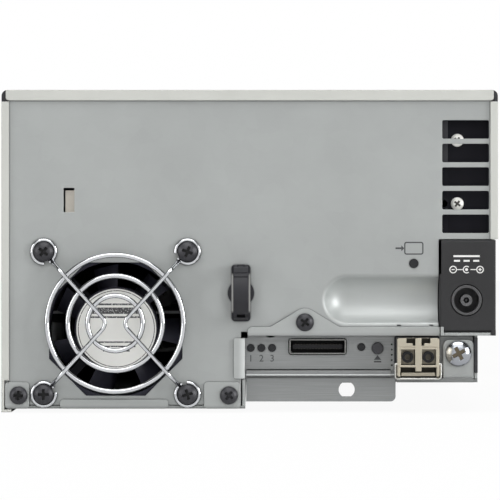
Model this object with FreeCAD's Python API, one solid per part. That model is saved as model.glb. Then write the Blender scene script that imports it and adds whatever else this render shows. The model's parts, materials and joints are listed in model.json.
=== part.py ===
"""Optical disc archive drive. Frame: +X right seen from the rear, +Y into the drive, +Z up, millimetres."""
import FreeCAD, Part
import math
import os

V = FreeCAD.Vector

# Case
CASE_WIDTH = 170.0
FAN_SIDE = 82.3
CASE_HEIGHT = 110.3
CASE_DEPTH = 378.0
SHEET = 1.0
GAP = 0.3
COVER_BEND = 2.0
HEM_WIDTH = 3.4
HEM_THICK = 0.9
HEM_RELIEF = 28.0
TOP_LIP_HEIGHT = 3.6
TOP_LIP_INSET = 1.5
LIP_RELIEF = 0.4
SIDE_LIP_WIDTH = 2.6
LEFT_LIP_BOTTOM = 10.9

# Stepped pan
WALL_DROP = 6.3
STEP_BESIDE_BRACKET = 1.2
STEP_FLOOR = 10.2
RISER_FROM_RIGHT = 7.0
SHELF_Z = 26.2
FORE_LENGTH = 128.0
TAB_BASE_Z = 1.2
FLOOR_LIP_HEIGHT = 1.4
FLOOR_LIP_FROM_RIGHT = 8.6
TALL_TAB_TOP = 10.2
LOW_TAB_TOP = 4.3
LEFT_TAB_START = 1.3
LOW_TAB_SPAN = (20.1, 57.1)
TAB_FROM_EYE = (0.35, 1.05)
TAB_FROM_STEP = 1.7
TAB_SCREW_INSET = (4.6, 3.9)
TAB_SCREW_Z = 5.75
TAB_CORNER = 1.1
SHELF_CLIP_WIDTH = 1.0
SHELF_CLIP_THICK = 0.6
SHELF_CLIP_TOP = 29.2

# Screws
CASE_SCREW_HEAD = 3.05
BLACK_HEAD_HEIGHT = 1.9
CASE_SCREW_SHANK = 1.45
CASE_SCREW_LENGTH = 4.6
SHANK_CLEARANCE = 0.2
COLLAR_WALL = 0.9
COLLAR_LENGTH = 1.6
SCREW_TURN = 37.0

# Shape of a screw's head, in shares of its radius and height
SHOULDER_REACH = 0.6
SHOULDER_RISE = 0.86
RECESS_WIDTH = 0.3
RECESS_SPAN = 1.1
RECESS_DEPTH = 0.75

# Rear panel
FLANGE_DEPTH = 12.0
LOCK_SLOT_WIDTH = 3.75
LOCK_SLOT_HEIGHT = 8.3
LOCK_SLOT_FROM_LEFT = 23.1
LOCK_ABOVE_FAN = 14.1
LOCK_PLATE_MARGIN = 4.0
LOCK_PLATE_DEPTH = 6.0
LOCK_PLATE_DROP = 0.8
LOCK_PLATE_SHIFT = 0.6
VENT_COUNT = 5
VENT_FROM_RIGHT = (19.1, 3.0)
VENT_RIB = 1.68
VENT_FROM_TOP = 10.3
VENT_ABOVE_INLET = 2.38
VENT_CORNER = 0.6
TROUGH_FROM_RIGHT = 59.4
TROUGH_Z = 38.45
TROUGH_HEIGHT = 15.9
TROUGH_DEPTH = 6.0
TROUGH_RIM = 1.5
NICK_WIDTH = 1.4
NICK_HEIGHT = 0.45
NICK_Z = 29.7
NICKS_FROM_RIGHT = (33.9, 22.8)

# Cartridge lamp
CARTRIDGE_LED_FROM_RIGHT = 28.8
CARTRIDGE_LED_Z = 50.9
CARTRIDGE_LED_RADIUS = 1.55
LENS_FLANGE = 0.9
LENS_LENGTH = 6.0

# Fan and guard
FAN_FROM_LEFT = 39.1
FAN_SIZE = 50.0
FAN_THICK = 15.0
FAN_BORE = 23.2
FAN_HOLE_PITCH = 40.0
FAN_HOLE = 2.1
FAN_CORNER = 4.0
OCTAGON_FLATS = 45.7
OCTAGON_CHAMFER = 12.7
HOLDER_THICK = 4.0
HOLDER_RIM = 1.5
HOLDER_MARGIN = 3.6
HUB_RADIUS = 14.4
HUB_LENGTH = 11.5
HUB_WALL = 1.3
HUB_SETBACK = 0.8
LABEL_THICK = 0.2
BLADE_COUNT = 7
BLADE_TIP = 21.6
BLADE_THICK = 1.0
BLADE_SWEEP = 3.5
TIP_SWEEP = 5.5
FAN_SHAFT = 1.5
RUNNING = 0.05
BEARING_WALL = 1.7
MOTOR_PLATE = 1.8
STRUT_COUNT = 4
STRUT_WIDTH = 3.0
GUARD_LIFT = 2.1
GUARD_PITCH_X = 49.2
GUARD_PITCH_Z = 48.8
GUARD_RINGS = (23.3, 16.2, 9.4)
RING_WIRE = 0.85
SPOKE_WIRE = 0.7
LOOP_RADIUS = 3.95
LOOP_SWEEP = 335.0
LOOP_OVERLAP = 15.0
RING_STANDOFF = 4.5
SPOKE_BEND_GAP = 4.9
SPOKE_BEND_RADIUS = 6.0
WELD = 0.15
GUARD_SCREW_HEAD = 3.4
GUARD_SCREW_LENGTH = 6.0

# Power inlet
DC_FROM_RIGHT = 20.0
DC_SIDE_INSET = 0.8
DC_TOP = 58.9
DC_PROUD = 1.2
DC_DEPTH = 15.5
DC_EDGE = 0.6
DC_STEP_Z = 47.2
DC_STEP = 0.6
JACK_FROM_RIGHT = 10.8
JACK_Z = 38.3
JACK_RIM = 5.5
JACK_RECESS = 4.3
JACK_POST = 2.05
JACK_HOLE = 1.0
JACK_PIN = 0.4
JACK_DEPTH = 10.0

# Cord clamp
CLAMP_FROM_RIGHT = 88.0
CLAMP_Z = 40.8
CLAMP_HEIGHT = 19.4
CLAMP_BASE_WIDTH = 6.5
CLAMP_WIDTH = 4.8
CLAMP_FLANGE = 4.5
CLAMP_BASE_THICK = 1.6
CLAMP_REACH = 12.0
CLAMP_STRAP = 2.0
CLAMP_BARREL = 1.3
CLAMP_PIN = 0.6
CLAMP_POST = 1.9
CLAMP_GROOVES = (6.9, 5.5)
CLAMP_GROOVE = 0.35
LATCH_HEIGHT = 1.2
LATCH_WIDTH = 2.8

# Control bracket
BRACKET_LEFT_FROM_RIGHT = 87.7
BRACKET_FLANGE_TOP = 29.1
BRACKET_FLANGE_RIGHT = 20.0
BRACKET_RELIEF = 2.0
SIDE_TAB_WIDTH = 3.7
SIDE_TAB_BOTTOM = 11.5
SIDE_TAB_TOP = 25.3
SCREW_TAB_FROM_RIGHT = 66.1
SCREW_TAB_HALF = 11.8
SCREW_TAB_RISE = 7.1
SCREW_TAB_PEAK = 4.5
SCREW_TAB_FOOT = 3.0
FLANGE_CORNER = 1.6
SCREW_TAB_SCREW_Z = 30.75
FACE_SETBACK = 3.0
LEDGE_BOTTOM = 12.5
LEDGE_TOP = 14.2
LEDGE_REACH = 2.2
LEDGE_FROM_END = 1.7
LEDGE_SLIT = 0.35
LEDGE_GROOVE_HEIGHT = 0.8
LEDGE_GROOVE_DEPTH = 0.6
BRACKET_END_GAP = 0.25
MOUNT_TAB_BOTTOM = 3.5
MOUNT_TAB_CORNER = 1.8
MOUNT_HOLE_FROM_RIGHT = 51.7
MOUNT_HOLE_Z = 7.6
MOUNT_HOLE_RADIUS = 2.75
MOUNT_HOLE_FLATS = 4.65
STATUS_LEDS = ((84.64, 21.9), (81.0, 21.9), (77.3, 21.9), (46.7, 22.2))
STATUS_LED_RADIUS = 1.3
SHIELD_HOLES = 5
SHIELD_HOLE = 0.35
SHIELD_PITCH = 1.8
SHIELD_LOW = 15.9
SHIELD_FROM_END = 1.3
SPARE_HOLE_FROM_RIGHT = 77.8
SPARE_HOLE_Z = 28.2
SPARE_HOLE_RADIUS = 2.75
BUTTON_FROM_RIGHT = 41.1
BUTTON_Z = 21.8
BUTTON_RADIUS = 1.95
BUTTON_FLANGE = 0.8
BUTTON_PROUD = 1.6
BUTTON_TRAVEL = 1.2
SWITCH_SIZE = 6.0
PANEL_BOARD_DEPTH = 9.5
BOARD_THICK = 1.6
CONNECTOR_FROM_RIGHT = 61.7
CONNECTOR_WIDTH = 19.4
CONNECTOR_Z = 22.35
CONNECTOR_HEIGHT = 5.1
CONNECTOR_WALL = 0.4
CONNECTOR_PROUD = 1.0
CONNECTOR_CORNER = 0.6
TONGUE_HEIGHT = 1.5

# Ear beside the transceiver
EAR_WIDTH = 10.4
EAR_TOP = 24.7
EAR_CORNER = 2.0
EAR_FOOT = 8.0
EAR_SCREW_Z = 20.1
EAR_SCREW_HEAD = 4.35
EAR_SCREW_HEIGHT = 2.4
EAR_SCREW_SHANK = 1.9
EAR_SCREW_LENGTH = 7.0
EAR_SCREW_TURN = -28.0

# Fibre transceiver
SFP_FROM_EAR = 1.85
SFP_HEAD_WIDTH = 14.2
SFP_HEAD_BOTTOM = 12.4
SFP_HEAD_TOP = 25.4
SFP_POST_HALF = 1.0
SFP_LATCH_END = 4.1
SFP_LATCH_BOTTOM = 23.7
SFP_KEY_END = 2.0
SFP_KEY_Z = (22.9, 24.0)
SFP_FOOT_END = 6.2
SFP_FOOT_Z = (14.0, 15.6)
SFP_LINE_END = 6.6
SFP_LINE_Z = (22.3, 22.55)
SFP_LINE_DEPTH = 0.6
SFP_CUT_DEPTH = 6.0
SFP_NOTCH_TOP = 14.2
SFP_REACH = 8.0
SFP_BODY_WIDTH = 12.6
SFP_BODY_HEIGHT = 8.8
SFP_BODY_LENGTH = 44.0
CAGE_WALL = 0.4
SLIDE_GAP = 0.35
PORT_PITCH = 7.1
PORT_WIDTH = 4.9
PORT_HEIGHT = 5.4
PORT_Z = 19.0
PORT_DEPTH = 7.0
SLEEVE_RADIUS = 1.95
SLEEVE_BORE = 1.05
SLEEVE_LENGTH = 4.5
BAIL_WIRE = 0.35
BAIL_PIN = 0.35
BAIL_BEND = 0.9
BAIL_PIVOT_Z = 16.6
BAIL_PIVOT_DEPTH = 6.5

# Boards
INTERFACE_FROM_POST = 0.2
INTERFACE_LENGTH = 105.0
INTERFACE_LIFT = 1.2
STANDOFF = 2.5
MAIN_BOARD_LENGTH = 100.0
MAIN_BOARD_SIDE = 9.0
MAIN_BOARD_LIFT = 11.0
SINK_SIZE = 40.0
SINK_HEIGHT = 16.0
SINK_BASE = 3.0
SINK_FINS = 9
SINK_FIN = 1.4

# Vent baffle
BAFFLE_DEPTH = 4.0
BAFFLE_HEM_REACH = 2.1
BAFFLE_HEM = 1.2
BAFFLE_MARGIN = 1.5
BAFFLE_FLANGE = 16.0
BAFFLE_SCREW_FROM_RIGHT = 13.7
BAFFLE_SCREW_DROP = 6.8
BAFFLE_SCREW_RISE = 10.12
BAFFLE_SCREW_HEAD = 2.2
BAFFLE_SCREW_HEIGHT = 1.0
BAFFLE_SCREW_SHANK = 1.2
BAFFLE_PIN_HOLE_FROM_RIGHT = 18.3

# Disc mechanism
DECK_BACK = 40.0
DECK_SIDE = 9.0
DECK_Z = 33.0
DAMPER_HEIGHT = 3.0
DAMPER_RADIUS = 5.0
POST_RADIUS = 4.0
POST_INSET = 6.0
SPINDLE_FROM_DECK = 72.0
SPINDLE_BASE = 17.0
SPINDLE_BASE_THICK = 2.0
ROTOR_RADIUS = 14.0
ROTOR_WALL = 2.0
ROTOR_HEIGHT = 7.0
TABLE_RADIUS = 16.0
TABLE_THICK = 2.0
CONE_RADIUS = 7.4
CONE_HEIGHT = 4.0
SPINDLE_SHAFT = 1.5
STATOR_RADIUS = 10.0
ROD_RADIUS = 1.5
ROD_SPACING = 48.0
ROD_HEIGHT = 5.8
LUG_WIDTH = 6.0
LUG_THICK = 2.0
SLED_GAP = 2.0
SLED_LENGTH = 20.0
SLED_WIDTH = 34.0
SLED_HEIGHT = 7.0
SLED_TRAVEL = 35.0
LENS_RADIUS = 2.5
LENS_HEIGHT = 1.0
SCREW_OFFSET = 33.0
NUT_LENGTH = 8.0
SLED_MOTOR_RADIUS = 5.5
SLED_MOTOR_LENGTH = 12.0

# Front: bezel, door and bay
BEZEL_DEPTH = 12.0
BEZEL_WALL = 2.5
BEZEL_CORNER = 4.0
BAY_SIDE = 6.5
CARTRIDGE_THICK = 22.0
CARTRIDGE_ROOM = 2.0
BAY_FLOOR_Z = 58.0
BAY_LENGTH = 164.0
BAY_WALL_HEIGHT = 33.0
DOOR_THICK = 1.8
DOOR_BARREL = 1.9
DOOR_PIN = 1.0
DOOR_SETBACK = 6.0
SLOT_FLARE = 1.5

# Cartridge loader
LOADER_TRAVEL = 80.0
LOADER_BACK = 6.0
LOADER_SCREW = 2.0
LOADER_DROP = 10.0
LOADER_ROD_OFFSET = 20.0
LOADER_PLATE = 2.0
CARRIAGE_LENGTH = 20.0
CARRIAGE_HEIGHT = 10.0
HOOK_RADIUS = 1.5
HOOK_HEIGHT = 2.0
LOADER_MOTOR_RADIUS = 8.0
LOADER_MOTOR_LENGTH = 22.0

HALF = CASE_WIDTH / 2
SPREAD = CASE_WIDTH / (FAN_SIDE + BRACKET_LEFT_FROM_RIGHT)
COVER_IN = HALF - SHEET
PAN_OUT = COVER_IN - GAP
PAN_IN = PAN_OUT - SHEET
PANEL_EDGE = PAN_IN - GAP
FLOOR_TOP = TAB_BASE_Z + SHEET
STEP_TOP = STEP_FLOOR + SHEET
SHELF_TOP = SHELF_Z + SHEET
REAR_LENGTH = CASE_DEPTH - FORE_LENGTH
DECK_WIDTH = CASE_WIDTH - 2 * DECK_SIDE
GUARD_HALF = SPREAD * GUARD_PITCH_Z / 2
FAN_Z = FLOOR_TOP + GAP + HOLDER_MARGIN + GUARD_HALF - GUARD_LIFT
LOCK_SLOT_Z = FAN_Z + GUARD_LIFT + GUARD_HALF + HOLDER_MARGIN + LOCK_ABOVE_FAN
VENT_TOP = CASE_HEIGHT - VENT_FROM_TOP
VENT_LOW = DC_TOP + VENT_ABOVE_INLET
VENT_PITCH = (VENT_TOP - VENT_LOW + VENT_RIB) / VENT_COUNT
BAFFLE_SCREWS_Z = (VENT_TOP - BAFFLE_SCREW_DROP, VENT_LOW + BAFFLE_SCREW_RISE)
EPSILON = 0.01
FAR = 1000.0


def spread(length):
    """A size or offset that grows with the case's width."""
    return length * SPREAD


def left(offset):
    """X of a place whose offset from the cover's left face grows with the case's width."""
    return spread(offset) - HALF


def right(offset):
    """X of a place whose offset from the cover's right face grows with the case's width."""
    return HALF - spread(offset)


def back(depth):
    """Y at a depth behind the rear panel's outer face."""
    return (CLAMP_REACH - CASE_DEPTH) / 2 + depth


def front(depth):
    """Y at a depth behind the bezel's front face."""
    return back(CASE_DEPTH) - depth


def block(x, y, z):
    """Box from three (low, high) pairs."""
    return Part.makeBox(x[1] - x[0], y[1] - y[0], z[1] - z[0], V(x[0], y[0], z[0]))


def about(centre, width):
    """(low, high) pair of a width about a centre."""
    return (centre - width / 2, centre + width / 2)


def rod(radius, start, end):
    """Cylinder between two points."""
    axis = V(*end) - V(*start)
    return Part.makeCylinder(radius, axis.Length, V(*start), axis)


def rod_y(radius, x, z, y):
    """Cylinder along Y through a (low, high) pair."""
    return rod(radius, (x, y[0], z), (x, y[1], z))


def tube_y(outer, inner, x, z, y):
    """Hollow cylinder along Y."""
    return rod_y(outer, x, z, y).cut(rod_y(inner, x, z, (y[0] - 1, y[1] + 1)))


def prism_y(outline, y):
    """Polygon of (x, z) points drawn along Y."""
    points = [V(px, y[0], pz) for px, pz in outline]
    face = Part.Face(Part.makePolygon(points + points[:1]))
    return face.extrude(V(0, y[1] - y[0], 0))


def union(*shapes):
    """One solid from pieces that touch or overlap."""
    return shapes[0].multiFuse(list(shapes[1:])).removeSplitter()


def edges_along(shape, direction, test=lambda middle: True):
    """Straight edges parallel to a direction whose middle passes a test."""
    chosen = []
    for edge in shape.Edges:
        if edge.Curve.TypeId != "Part::GeomLine":
            continue
        if abs(edge.tangentAt(edge.FirstParameter).dot(direction)) < 1 - EPSILON:
            continue
        if test(edge.CenterOfMass):
            chosen.append(edge)
    return chosen


def rounded_block(x, y, z, radius, direction=V(0, 1, 0)):
    """Box with its edges along one direction rounded."""
    solid = block(x, y, z)
    return solid.makeFillet(radius, edges_along(solid, direction))


def bent_sheet(path, y):
    """Square-bent sheet along Y: path is its outer face and the metal lies left of travel."""
    normals = []
    for (ax, az), (bx, bz) in zip(path, path[1:]):
        length = math.hypot(bx - ax, bz - az)
        normals.append(((az - bz) / length, (bx - ax) / length))
    inner = []
    for index, (px, pz) in enumerate(path):
        beside = normals[max(index - 1, 0):index + 1]
        inner.append((px + SHEET * sum(n[0] for n in beside), pz + SHEET * sum(n[1] for n in beside)))
    return prism_y(list(path) + inner[::-1], y)


def pan_screw(x, z, face, head, height, shank, length, turn=0):
    """Domed cross-recess screw whose head stands out towards the rear, its cross turned by an angle."""
    crown = V(0, -height, 0)
    rim = V(head, -height / 3, 0)
    shoulder = V(head * SHOULDER_REACH, -height * SHOULDER_RISE, 0)
    corners = [rim, V(head, 0, 0), V(shank, 0, 0), V(shank, length, 0), V(0, length, 0), crown]
    sides = [Part.makeLine(a, b) for a, b in zip(corners, corners[1:])]
    outline = Part.Wire([Part.Arc(crown, shoulder, rim).toShape()] + sides)
    body = Part.Face(outline).revolve(V(0, 0, 0), V(0, 1, 0), 360)
    body.translate(V(x, face, z))
    recess = (face - height - 1, face - height * (1 - RECESS_DEPTH))
    cross = block(about(x, head * RECESS_SPAN), recess, about(z, head * RECESS_WIDTH))
    cross = cross.fuse(block(about(x, head * RECESS_WIDTH), recess, about(z, head * RECESS_SPAN)))
    cross.rotate(V(x, 0, z), V(0, 1, 0), turn)
    return body.cut(cross)


def step_x():
    """X of the outer face of the step in the pan's floor."""
    return right(BRACKET_LEFT_FROM_RIGHT) + STEP_BESIDE_BRACKET


def tall_tabs():
    """X ranges of the pan's two tall tabs, either side of the fan guard's lower eyes."""
    eyes = about(left(FAN_FROM_LEFT), spread(GUARD_PITCH_X) + 2 * (LOOP_RADIUS + SPOKE_WIRE))
    return ((left(LEFT_TAB_START), eyes[0] - TAB_FROM_EYE[0]),
            (eyes[1] + TAB_FROM_EYE[1], step_x() - TAB_FROM_STEP))


def screw_spots():
    """Where the case screws enter the rear panel, as (x, z)."""
    first, second = tall_tabs()
    return [(first[0] + TAB_SCREW_INSET[0], TAB_SCREW_Z), (second[1] - TAB_SCREW_INSET[1], TAB_SCREW_Z)]


def guard_spots():
    """Where the guard screws enter the fan holder, as (x, z)."""
    low = FAN_Z + GUARD_LIFT - spread(GUARD_PITCH_Z) / 2
    sides = about(left(FAN_FROM_LEFT), spread(GUARD_PITCH_X))
    return [(x, z) for x in sides for z in (low, low + spread(GUARD_PITCH_Z))]


def top_cover():
    """Painted U-shaped cover with turned lips at the rear and hems that the drive stands on."""
    end = front(BEZEL_DEPTH + GAP)
    length = (back(-SHEET), end)
    outer = block((-HALF, HALF), length, (0, CASE_HEIGHT))
    bends = edges_along(outer, V(0, 1, 0), lambda m: m.z > CASE_HEIGHT - EPSILON)
    outer = outer.makeFillet(COVER_BEND, bends)
    hollow = block((-COVER_IN, COVER_IN), (back(-FAR), back(FAR)), (-FAR, CASE_HEIGHT - SHEET))
    bends = edges_along(hollow, V(0, 1, 0), lambda m: m.z > 0)
    hollow = hollow.makeFillet(COVER_BEND - SHEET, bends)
    shell = outer.cut(hollow)
    hem_start = back(REAR_LENGTH + HEM_RELIEF)
    shell = shell.cut([
        block((0, FAR), (back(-FAR), back(DC_DEPTH + GAP)), (-FAR, DC_TOP + GAP)),
        block((0, FAR), (back(-FAR), back(REAR_LENGTH)), (-FAR, SHELF_Z)),
        block((0, FAR), (back(-FAR), hem_start), (-FAR, HEM_THICK)),
    ])
    relief = CASE_HEIGHT - TOP_LIP_HEIGHT - LIP_RELIEF
    lip = (back(-SHEET), back(0))
    top = rounded_block(
        (left(TOP_LIP_INSET), right(TOP_LIP_INSET)), lip,
        (CASE_HEIGHT - TOP_LIP_HEIGHT, CASE_HEIGHT), SHEET)
    notch = (relief, FAR)
    notches = [
        block((-FAR, left(TOP_LIP_INSET)), (back(-FAR), back(0)), notch),
        block((right(TOP_LIP_INSET), FAR), (back(-FAR), back(0)), notch),
    ]
    shell = shell.cut(notches)
    left_lip = block((-HALF, left(SIDE_LIP_WIDTH)), lip, (LEFT_LIP_BOTTOM, relief))
    right_lip = block((right(SIDE_LIP_WIDTH), HALF), lip, (DC_TOP + GAP, relief))
    hem = (0, HEM_THICK)
    left_hem = block((-HALF, left(HEM_WIDTH)), length, hem)
    right_hem = block((right(HEM_WIDTH), HALF), (hem_start, end), hem)
    return union(shell, top, left_lip, right_lip, left_hem, right_hem)


def bottom_pan():
    """Plated pan: the floor steps up behind the sockets and drops to full depth towards the front."""
    step = step_x()
    riser = right(RISER_FROM_RIGHT)
    base = TAB_BASE_Z
    wall_top = CASE_HEIGHT - WALL_DROP
    head = [(-PAN_OUT, wall_top), (-PAN_OUT, base)]
    tail = [(PAN_OUT, wall_top)]
    steps = [(step, base), (step, STEP_FLOOR), (riser, STEP_FLOOR), (riser, SHELF_Z), (PAN_OUT, SHELF_Z)]
    rear = bent_sheet(head + steps + tail, (back(0), back(REAR_LENGTH)))
    fore_length = (back(REAR_LENGTH - SHEET), front(BEZEL_DEPTH + GAP))
    fore = bent_sheet(head + [(PAN_OUT, base)] + tail, fore_length)
    bulkhead = prism_y(
        [(step - SHEET, base), (PAN_OUT, base), (PAN_OUT, SHELF_TOP), (riser - SHEET, SHELF_TOP),
         (riser - SHEET, STEP_TOP), (step - SHEET, STEP_TOP)],
        (back(REAR_LENGTH - SHEET), back(REAR_LENGTH)))
    tab_edge = bracket_end() + GAP
    lip = (back(-SHEET), back(0))
    shelf_start = right(DC_FROM_RIGHT) + GAP
    shelf = block((shelf_start, PANEL_EDGE), (back(-SHEET), back(DC_DEPTH)), (SHELF_Z, SHELF_TOP))
    clip_x = (shelf_start, shelf_start + SHELF_CLIP_WIDTH)
    clip_y = back(-DC_PROUD - GAP)
    clip_foot = block(clip_x, (clip_y, back(0)), (SHELF_Z, SHELF_TOP))
    clip = block(clip_x, (clip_y - SHELF_CLIP_THICK, clip_y), (SHELF_Z, SHELF_CLIP_TOP))
    lip_top = STEP_FLOOR + FLOOR_LIP_HEIGHT
    floor_lip = block((tab_edge, right(FLOOR_LIP_FROM_RIGHT)), lip, (STEP_FLOOR, lip_top))
    low_tab = tuple(left(offset) for offset in LOW_TAB_SPAN)
    tabs = []
    for x, top in zip(tall_tabs() + (low_tab,), (TALL_TAB_TOP, TALL_TAB_TOP, LOW_TAB_TOP)):
        tabs.append(rounded_block(x, lip, (base, top), TAB_CORNER))
        root = (x[0] + TAB_CORNER, x[1] - TAB_CORNER)
        tabs.append(block(root, (back(-SHEET), back(SHEET)), (base, FLOOR_TOP)))
    pan = union(rear, fore, bulkhead, shelf, clip_foot, clip, floor_lip, *tabs)
    face_room = back(FACE_SETBACK + SHEET + GAP)
    socket_room = block((step, tab_edge), (back(-FAR), face_room), (STEP_FLOOR - 1, STEP_TOP + 1))
    inlet_room = block((PANEL_EDGE, FAR), (back(-FAR), back(DC_DEPTH + GAP)), (SHELF_TOP, DC_TOP + GAP))
    hole = CASE_SCREW_SHANK + SHANK_CLEARANCE
    holes = [rod_y(hole, x, z, (back(-FAR), back(SHEET))) for x, z in screw_spots()]
    pan = pan.cut([socket_room, inlet_room] + holes)
    return union(pan, *pan_posts())


def deck_posts():
    """Plan positions of the deck's four rubber mounts."""
    rear, fore = deck_y()
    return [(x, y) for x in about(0, DECK_WIDTH - 2 * POST_INSET)
            for y in (rear + POST_INSET, fore - POST_INSET)]


def floor_under(x):
    """Height of the rear floor's upper face at a place across the pan."""
    return FLOOR_TOP if x < step_x() else STEP_TOP


def interface_corners():
    """Plan positions of the interface board's standoffs."""
    near, far = interface_x()
    return [(x, back(y)) for x in (near + 2 * STANDOFF, far - 2 * STANDOFF)
            for y in (INTERFACE_LENGTH - 3 * STANDOFF, INTERFACE_LENGTH / 2)]


def main_corners():
    """Plan positions of the main board's standoffs."""
    middle = main_board_middle()
    return [(x, y) for x in about(0, main_board_width() - 4 * STANDOFF)
            for y in about(middle, MAIN_BOARD_LENGTH - 4 * STANDOFF)]


def pan_posts():
    """Formed posts and standoffs that carry the deck and the boards."""
    posts = []
    for x, y in deck_posts():
        posts.append(rod(POST_RADIUS, (x, y, floor_under(x) - SHEET / 2), (x, y, DECK_Z - DAMPER_HEIGHT)))
    for x, y in interface_corners():
        posts.append(rod(STANDOFF, (x, y, STEP_TOP - SHEET / 2), (x, y, STEP_TOP + INTERFACE_LIFT)))
    for x, y in main_corners():
        posts.append(rod(STANDOFF, (x, y, FLOOR_TOP - SHEET / 2), (x, y, FLOOR_TOP + MAIN_BOARD_LIFT)))
    return posts


def octagon(x, z, flats, chamfer):
    """Corner-cut square about a centre, as (x, z) points."""
    half = flats / 2
    cut = half - chamfer
    corners = [(half, cut), (cut, half), (-cut, half), (-half, cut)]
    return [(x + px, z + pz) for px, pz in corners] + [(x - px, z - pz) for px, pz in corners]


def trough_radius():
    """Radius of the pressed trough from its width and depth."""
    half = TROUGH_HEIGHT / 2
    return (half ** 2 + TROUGH_DEPTH ** 2) / (2 * TROUGH_DEPTH)


def trough_form(radius):
    """Round-ended form of the trough, grown or shrunk with its radius."""
    y = back(TROUGH_DEPTH - trough_radius())
    start = right(TROUGH_FROM_RIGHT) + TROUGH_HEIGHT / 2
    barrel = rod(radius, (start, y, TROUGH_Z), (right(DC_FROM_RIGHT) - GAP, y, TROUGH_Z))
    return barrel.fuse(Part.makeSphere(radius, V(start, y, TROUGH_Z)))


def rear_panel():
    """Plated rear panel with fan octagon, vents, lock slot and the pressed trough for the power plug."""
    low = FLOOR_TOP + GAP
    top = CASE_HEIGHT - SHEET - GAP
    step = right(BRACKET_LEFT_FROM_RIGHT) - GAP
    inlet = right(DC_FROM_RIGHT) - GAP
    outline = [
        (-PANEL_EDGE, low), (step, low), (step, SHELF_TOP + GAP), (inlet, SHELF_TOP + GAP),
        (inlet, DC_TOP + GAP), (PANEL_EDGE, DC_TOP + GAP), (PANEL_EDGE, top), (-PANEL_EDGE, top)]
    thick = (back(0), back(SHEET))
    through = (back(-FAR), back(FLANGE_DEPTH))
    plate = prism_y(outline, thick)
    turned = (back(0), back(FLANGE_DEPTH))
    inset = PANEL_EDGE - COVER_BEND
    top_flange = block((-inset, inset), turned, (top - SHEET, top))
    side_flange = block((-PANEL_EDGE, SHEET - PANEL_EDGE), turned, (low + COVER_BEND, top - COVER_BEND))
    behind = block((-FAR, FAR), (back(0), back(FAR)), (0, FAR))
    pocket = trough_form(trough_radius() + SHEET).common(behind)
    collars = []
    holes = []
    tapped = screw_spots() + [(right(SCREW_TAB_FROM_RIGHT), SCREW_TAB_SCREW_Z)]
    hole = CASE_SCREW_SHANK + SHANK_CLEARANCE
    for x, z in tapped:
        collars.append(rod_y(hole + COLLAR_WALL, x, z, (back(0), back(SHEET + COLLAR_LENGTH))))
    for x, z in tapped + guard_spots():
        holes.append(rod_y(hole, x, z, through))
    panel = union(plate, top_flange, side_flange, pocket, *collars)
    corners = octagon(left(FAN_FROM_LEFT), FAN_Z, spread(OCTAGON_FLATS), spread(OCTAGON_CHAMFER))
    fan = prism_y(corners, through)
    slot = block(
        about(left(LOCK_SLOT_FROM_LEFT), LOCK_SLOT_WIDTH), thick, about(LOCK_SLOT_Z, LOCK_SLOT_HEIGHT))
    lamp = rod_y(CARTRIDGE_LED_RADIUS + RUNNING, right(CARTRIDGE_LED_FROM_RIGHT), CARTRIDGE_LED_Z, through)
    clip = rod_y(CLAMP_POST + RUNNING, right(CLAMP_FROM_RIGHT), CLAMP_Z, through)
    nicks = [block(about(right(x), NICK_WIDTH), thick, about(NICK_Z, NICK_HEIGHT))
             for x in NICKS_FROM_RIGHT]
    panel = panel.cut([trough_form(trough_radius()), fan, slot, lamp, clip] + holes + vents(thick))
    return soften_rim(panel).cut(nicks)


def soften_rim(panel):
    """Round the pressed edge where the trough runs into the panel's face."""
    low = TROUGH_Z - TROUGH_HEIGHT / 2 - EPSILON
    high = TROUGH_Z + TROUGH_HEIGHT / 2 + EPSILON
    rim = []
    for edge in panel.Edges:
        box = edge.BoundBox
        flat = box.YMax < back(EPSILON)
        inside = box.XMin > right(TROUGH_FROM_RIGHT) - EPSILON and box.ZMin > low and box.ZMax < high
        if flat and inside and box.XLength > EPSILON:
            rim.append(edge)
    return panel.makeFillet(TROUGH_RIM, rim)


def vent_x():
    """(low, high) of the vents across the panel."""
    return right(VENT_FROM_RIGHT[0]), right(VENT_FROM_RIGHT[1])


def vents(thick):
    """Row of round-cornered vent slots beside the cover's right lip."""
    slots = []
    for index in range(VENT_COUNT):
        top = VENT_TOP - index * VENT_PITCH
        slots.append(rounded_block(vent_x(), thick, (top - VENT_PITCH + VENT_RIB, top), VENT_CORNER))
    return slots


def case_screw(x, z, turn):
    """Black screw on the outside of a tab."""
    return pan_screw(
        x, z, back(-SHEET), CASE_SCREW_HEAD, BLACK_HEAD_HEIGHT, CASE_SCREW_SHANK, CASE_SCREW_LENGTH, turn)


def case_screws():
    """Black screws through the pan's two tall tabs."""
    return [case_screw(x, z, index * SCREW_TURN) for index, (x, z) in enumerate(screw_spots())]


def bracket_screw():
    """Black screw through the peak of the control bracket."""
    return case_screw(right(SCREW_TAB_FROM_RIGHT), SCREW_TAB_SCREW_Z, SCREW_TURN)


def lock_plate():
    """Bent plate against the panel's inner face that closes most of the lock slot."""
    slot_x = about(left(LOCK_SLOT_FROM_LEFT), LOCK_SLOT_WIDTH)
    slot_z = about(LOCK_SLOT_Z, LOCK_SLOT_HEIGHT)
    x = (slot_x[0] + LOCK_PLATE_SHIFT, slot_x[1] + LOCK_PLATE_MARGIN)
    z = (slot_z[0] - LOCK_PLATE_MARGIN, slot_z[1] - LOCK_PLATE_DROP)
    plate = block(x, (back(SHEET), back(2 * SHEET)), z)
    stiffener = block((x[1] - SHEET, x[1]), (back(SHEET), back(LOCK_PLATE_DEPTH)), z)
    return union(plate, stiffener)


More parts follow.
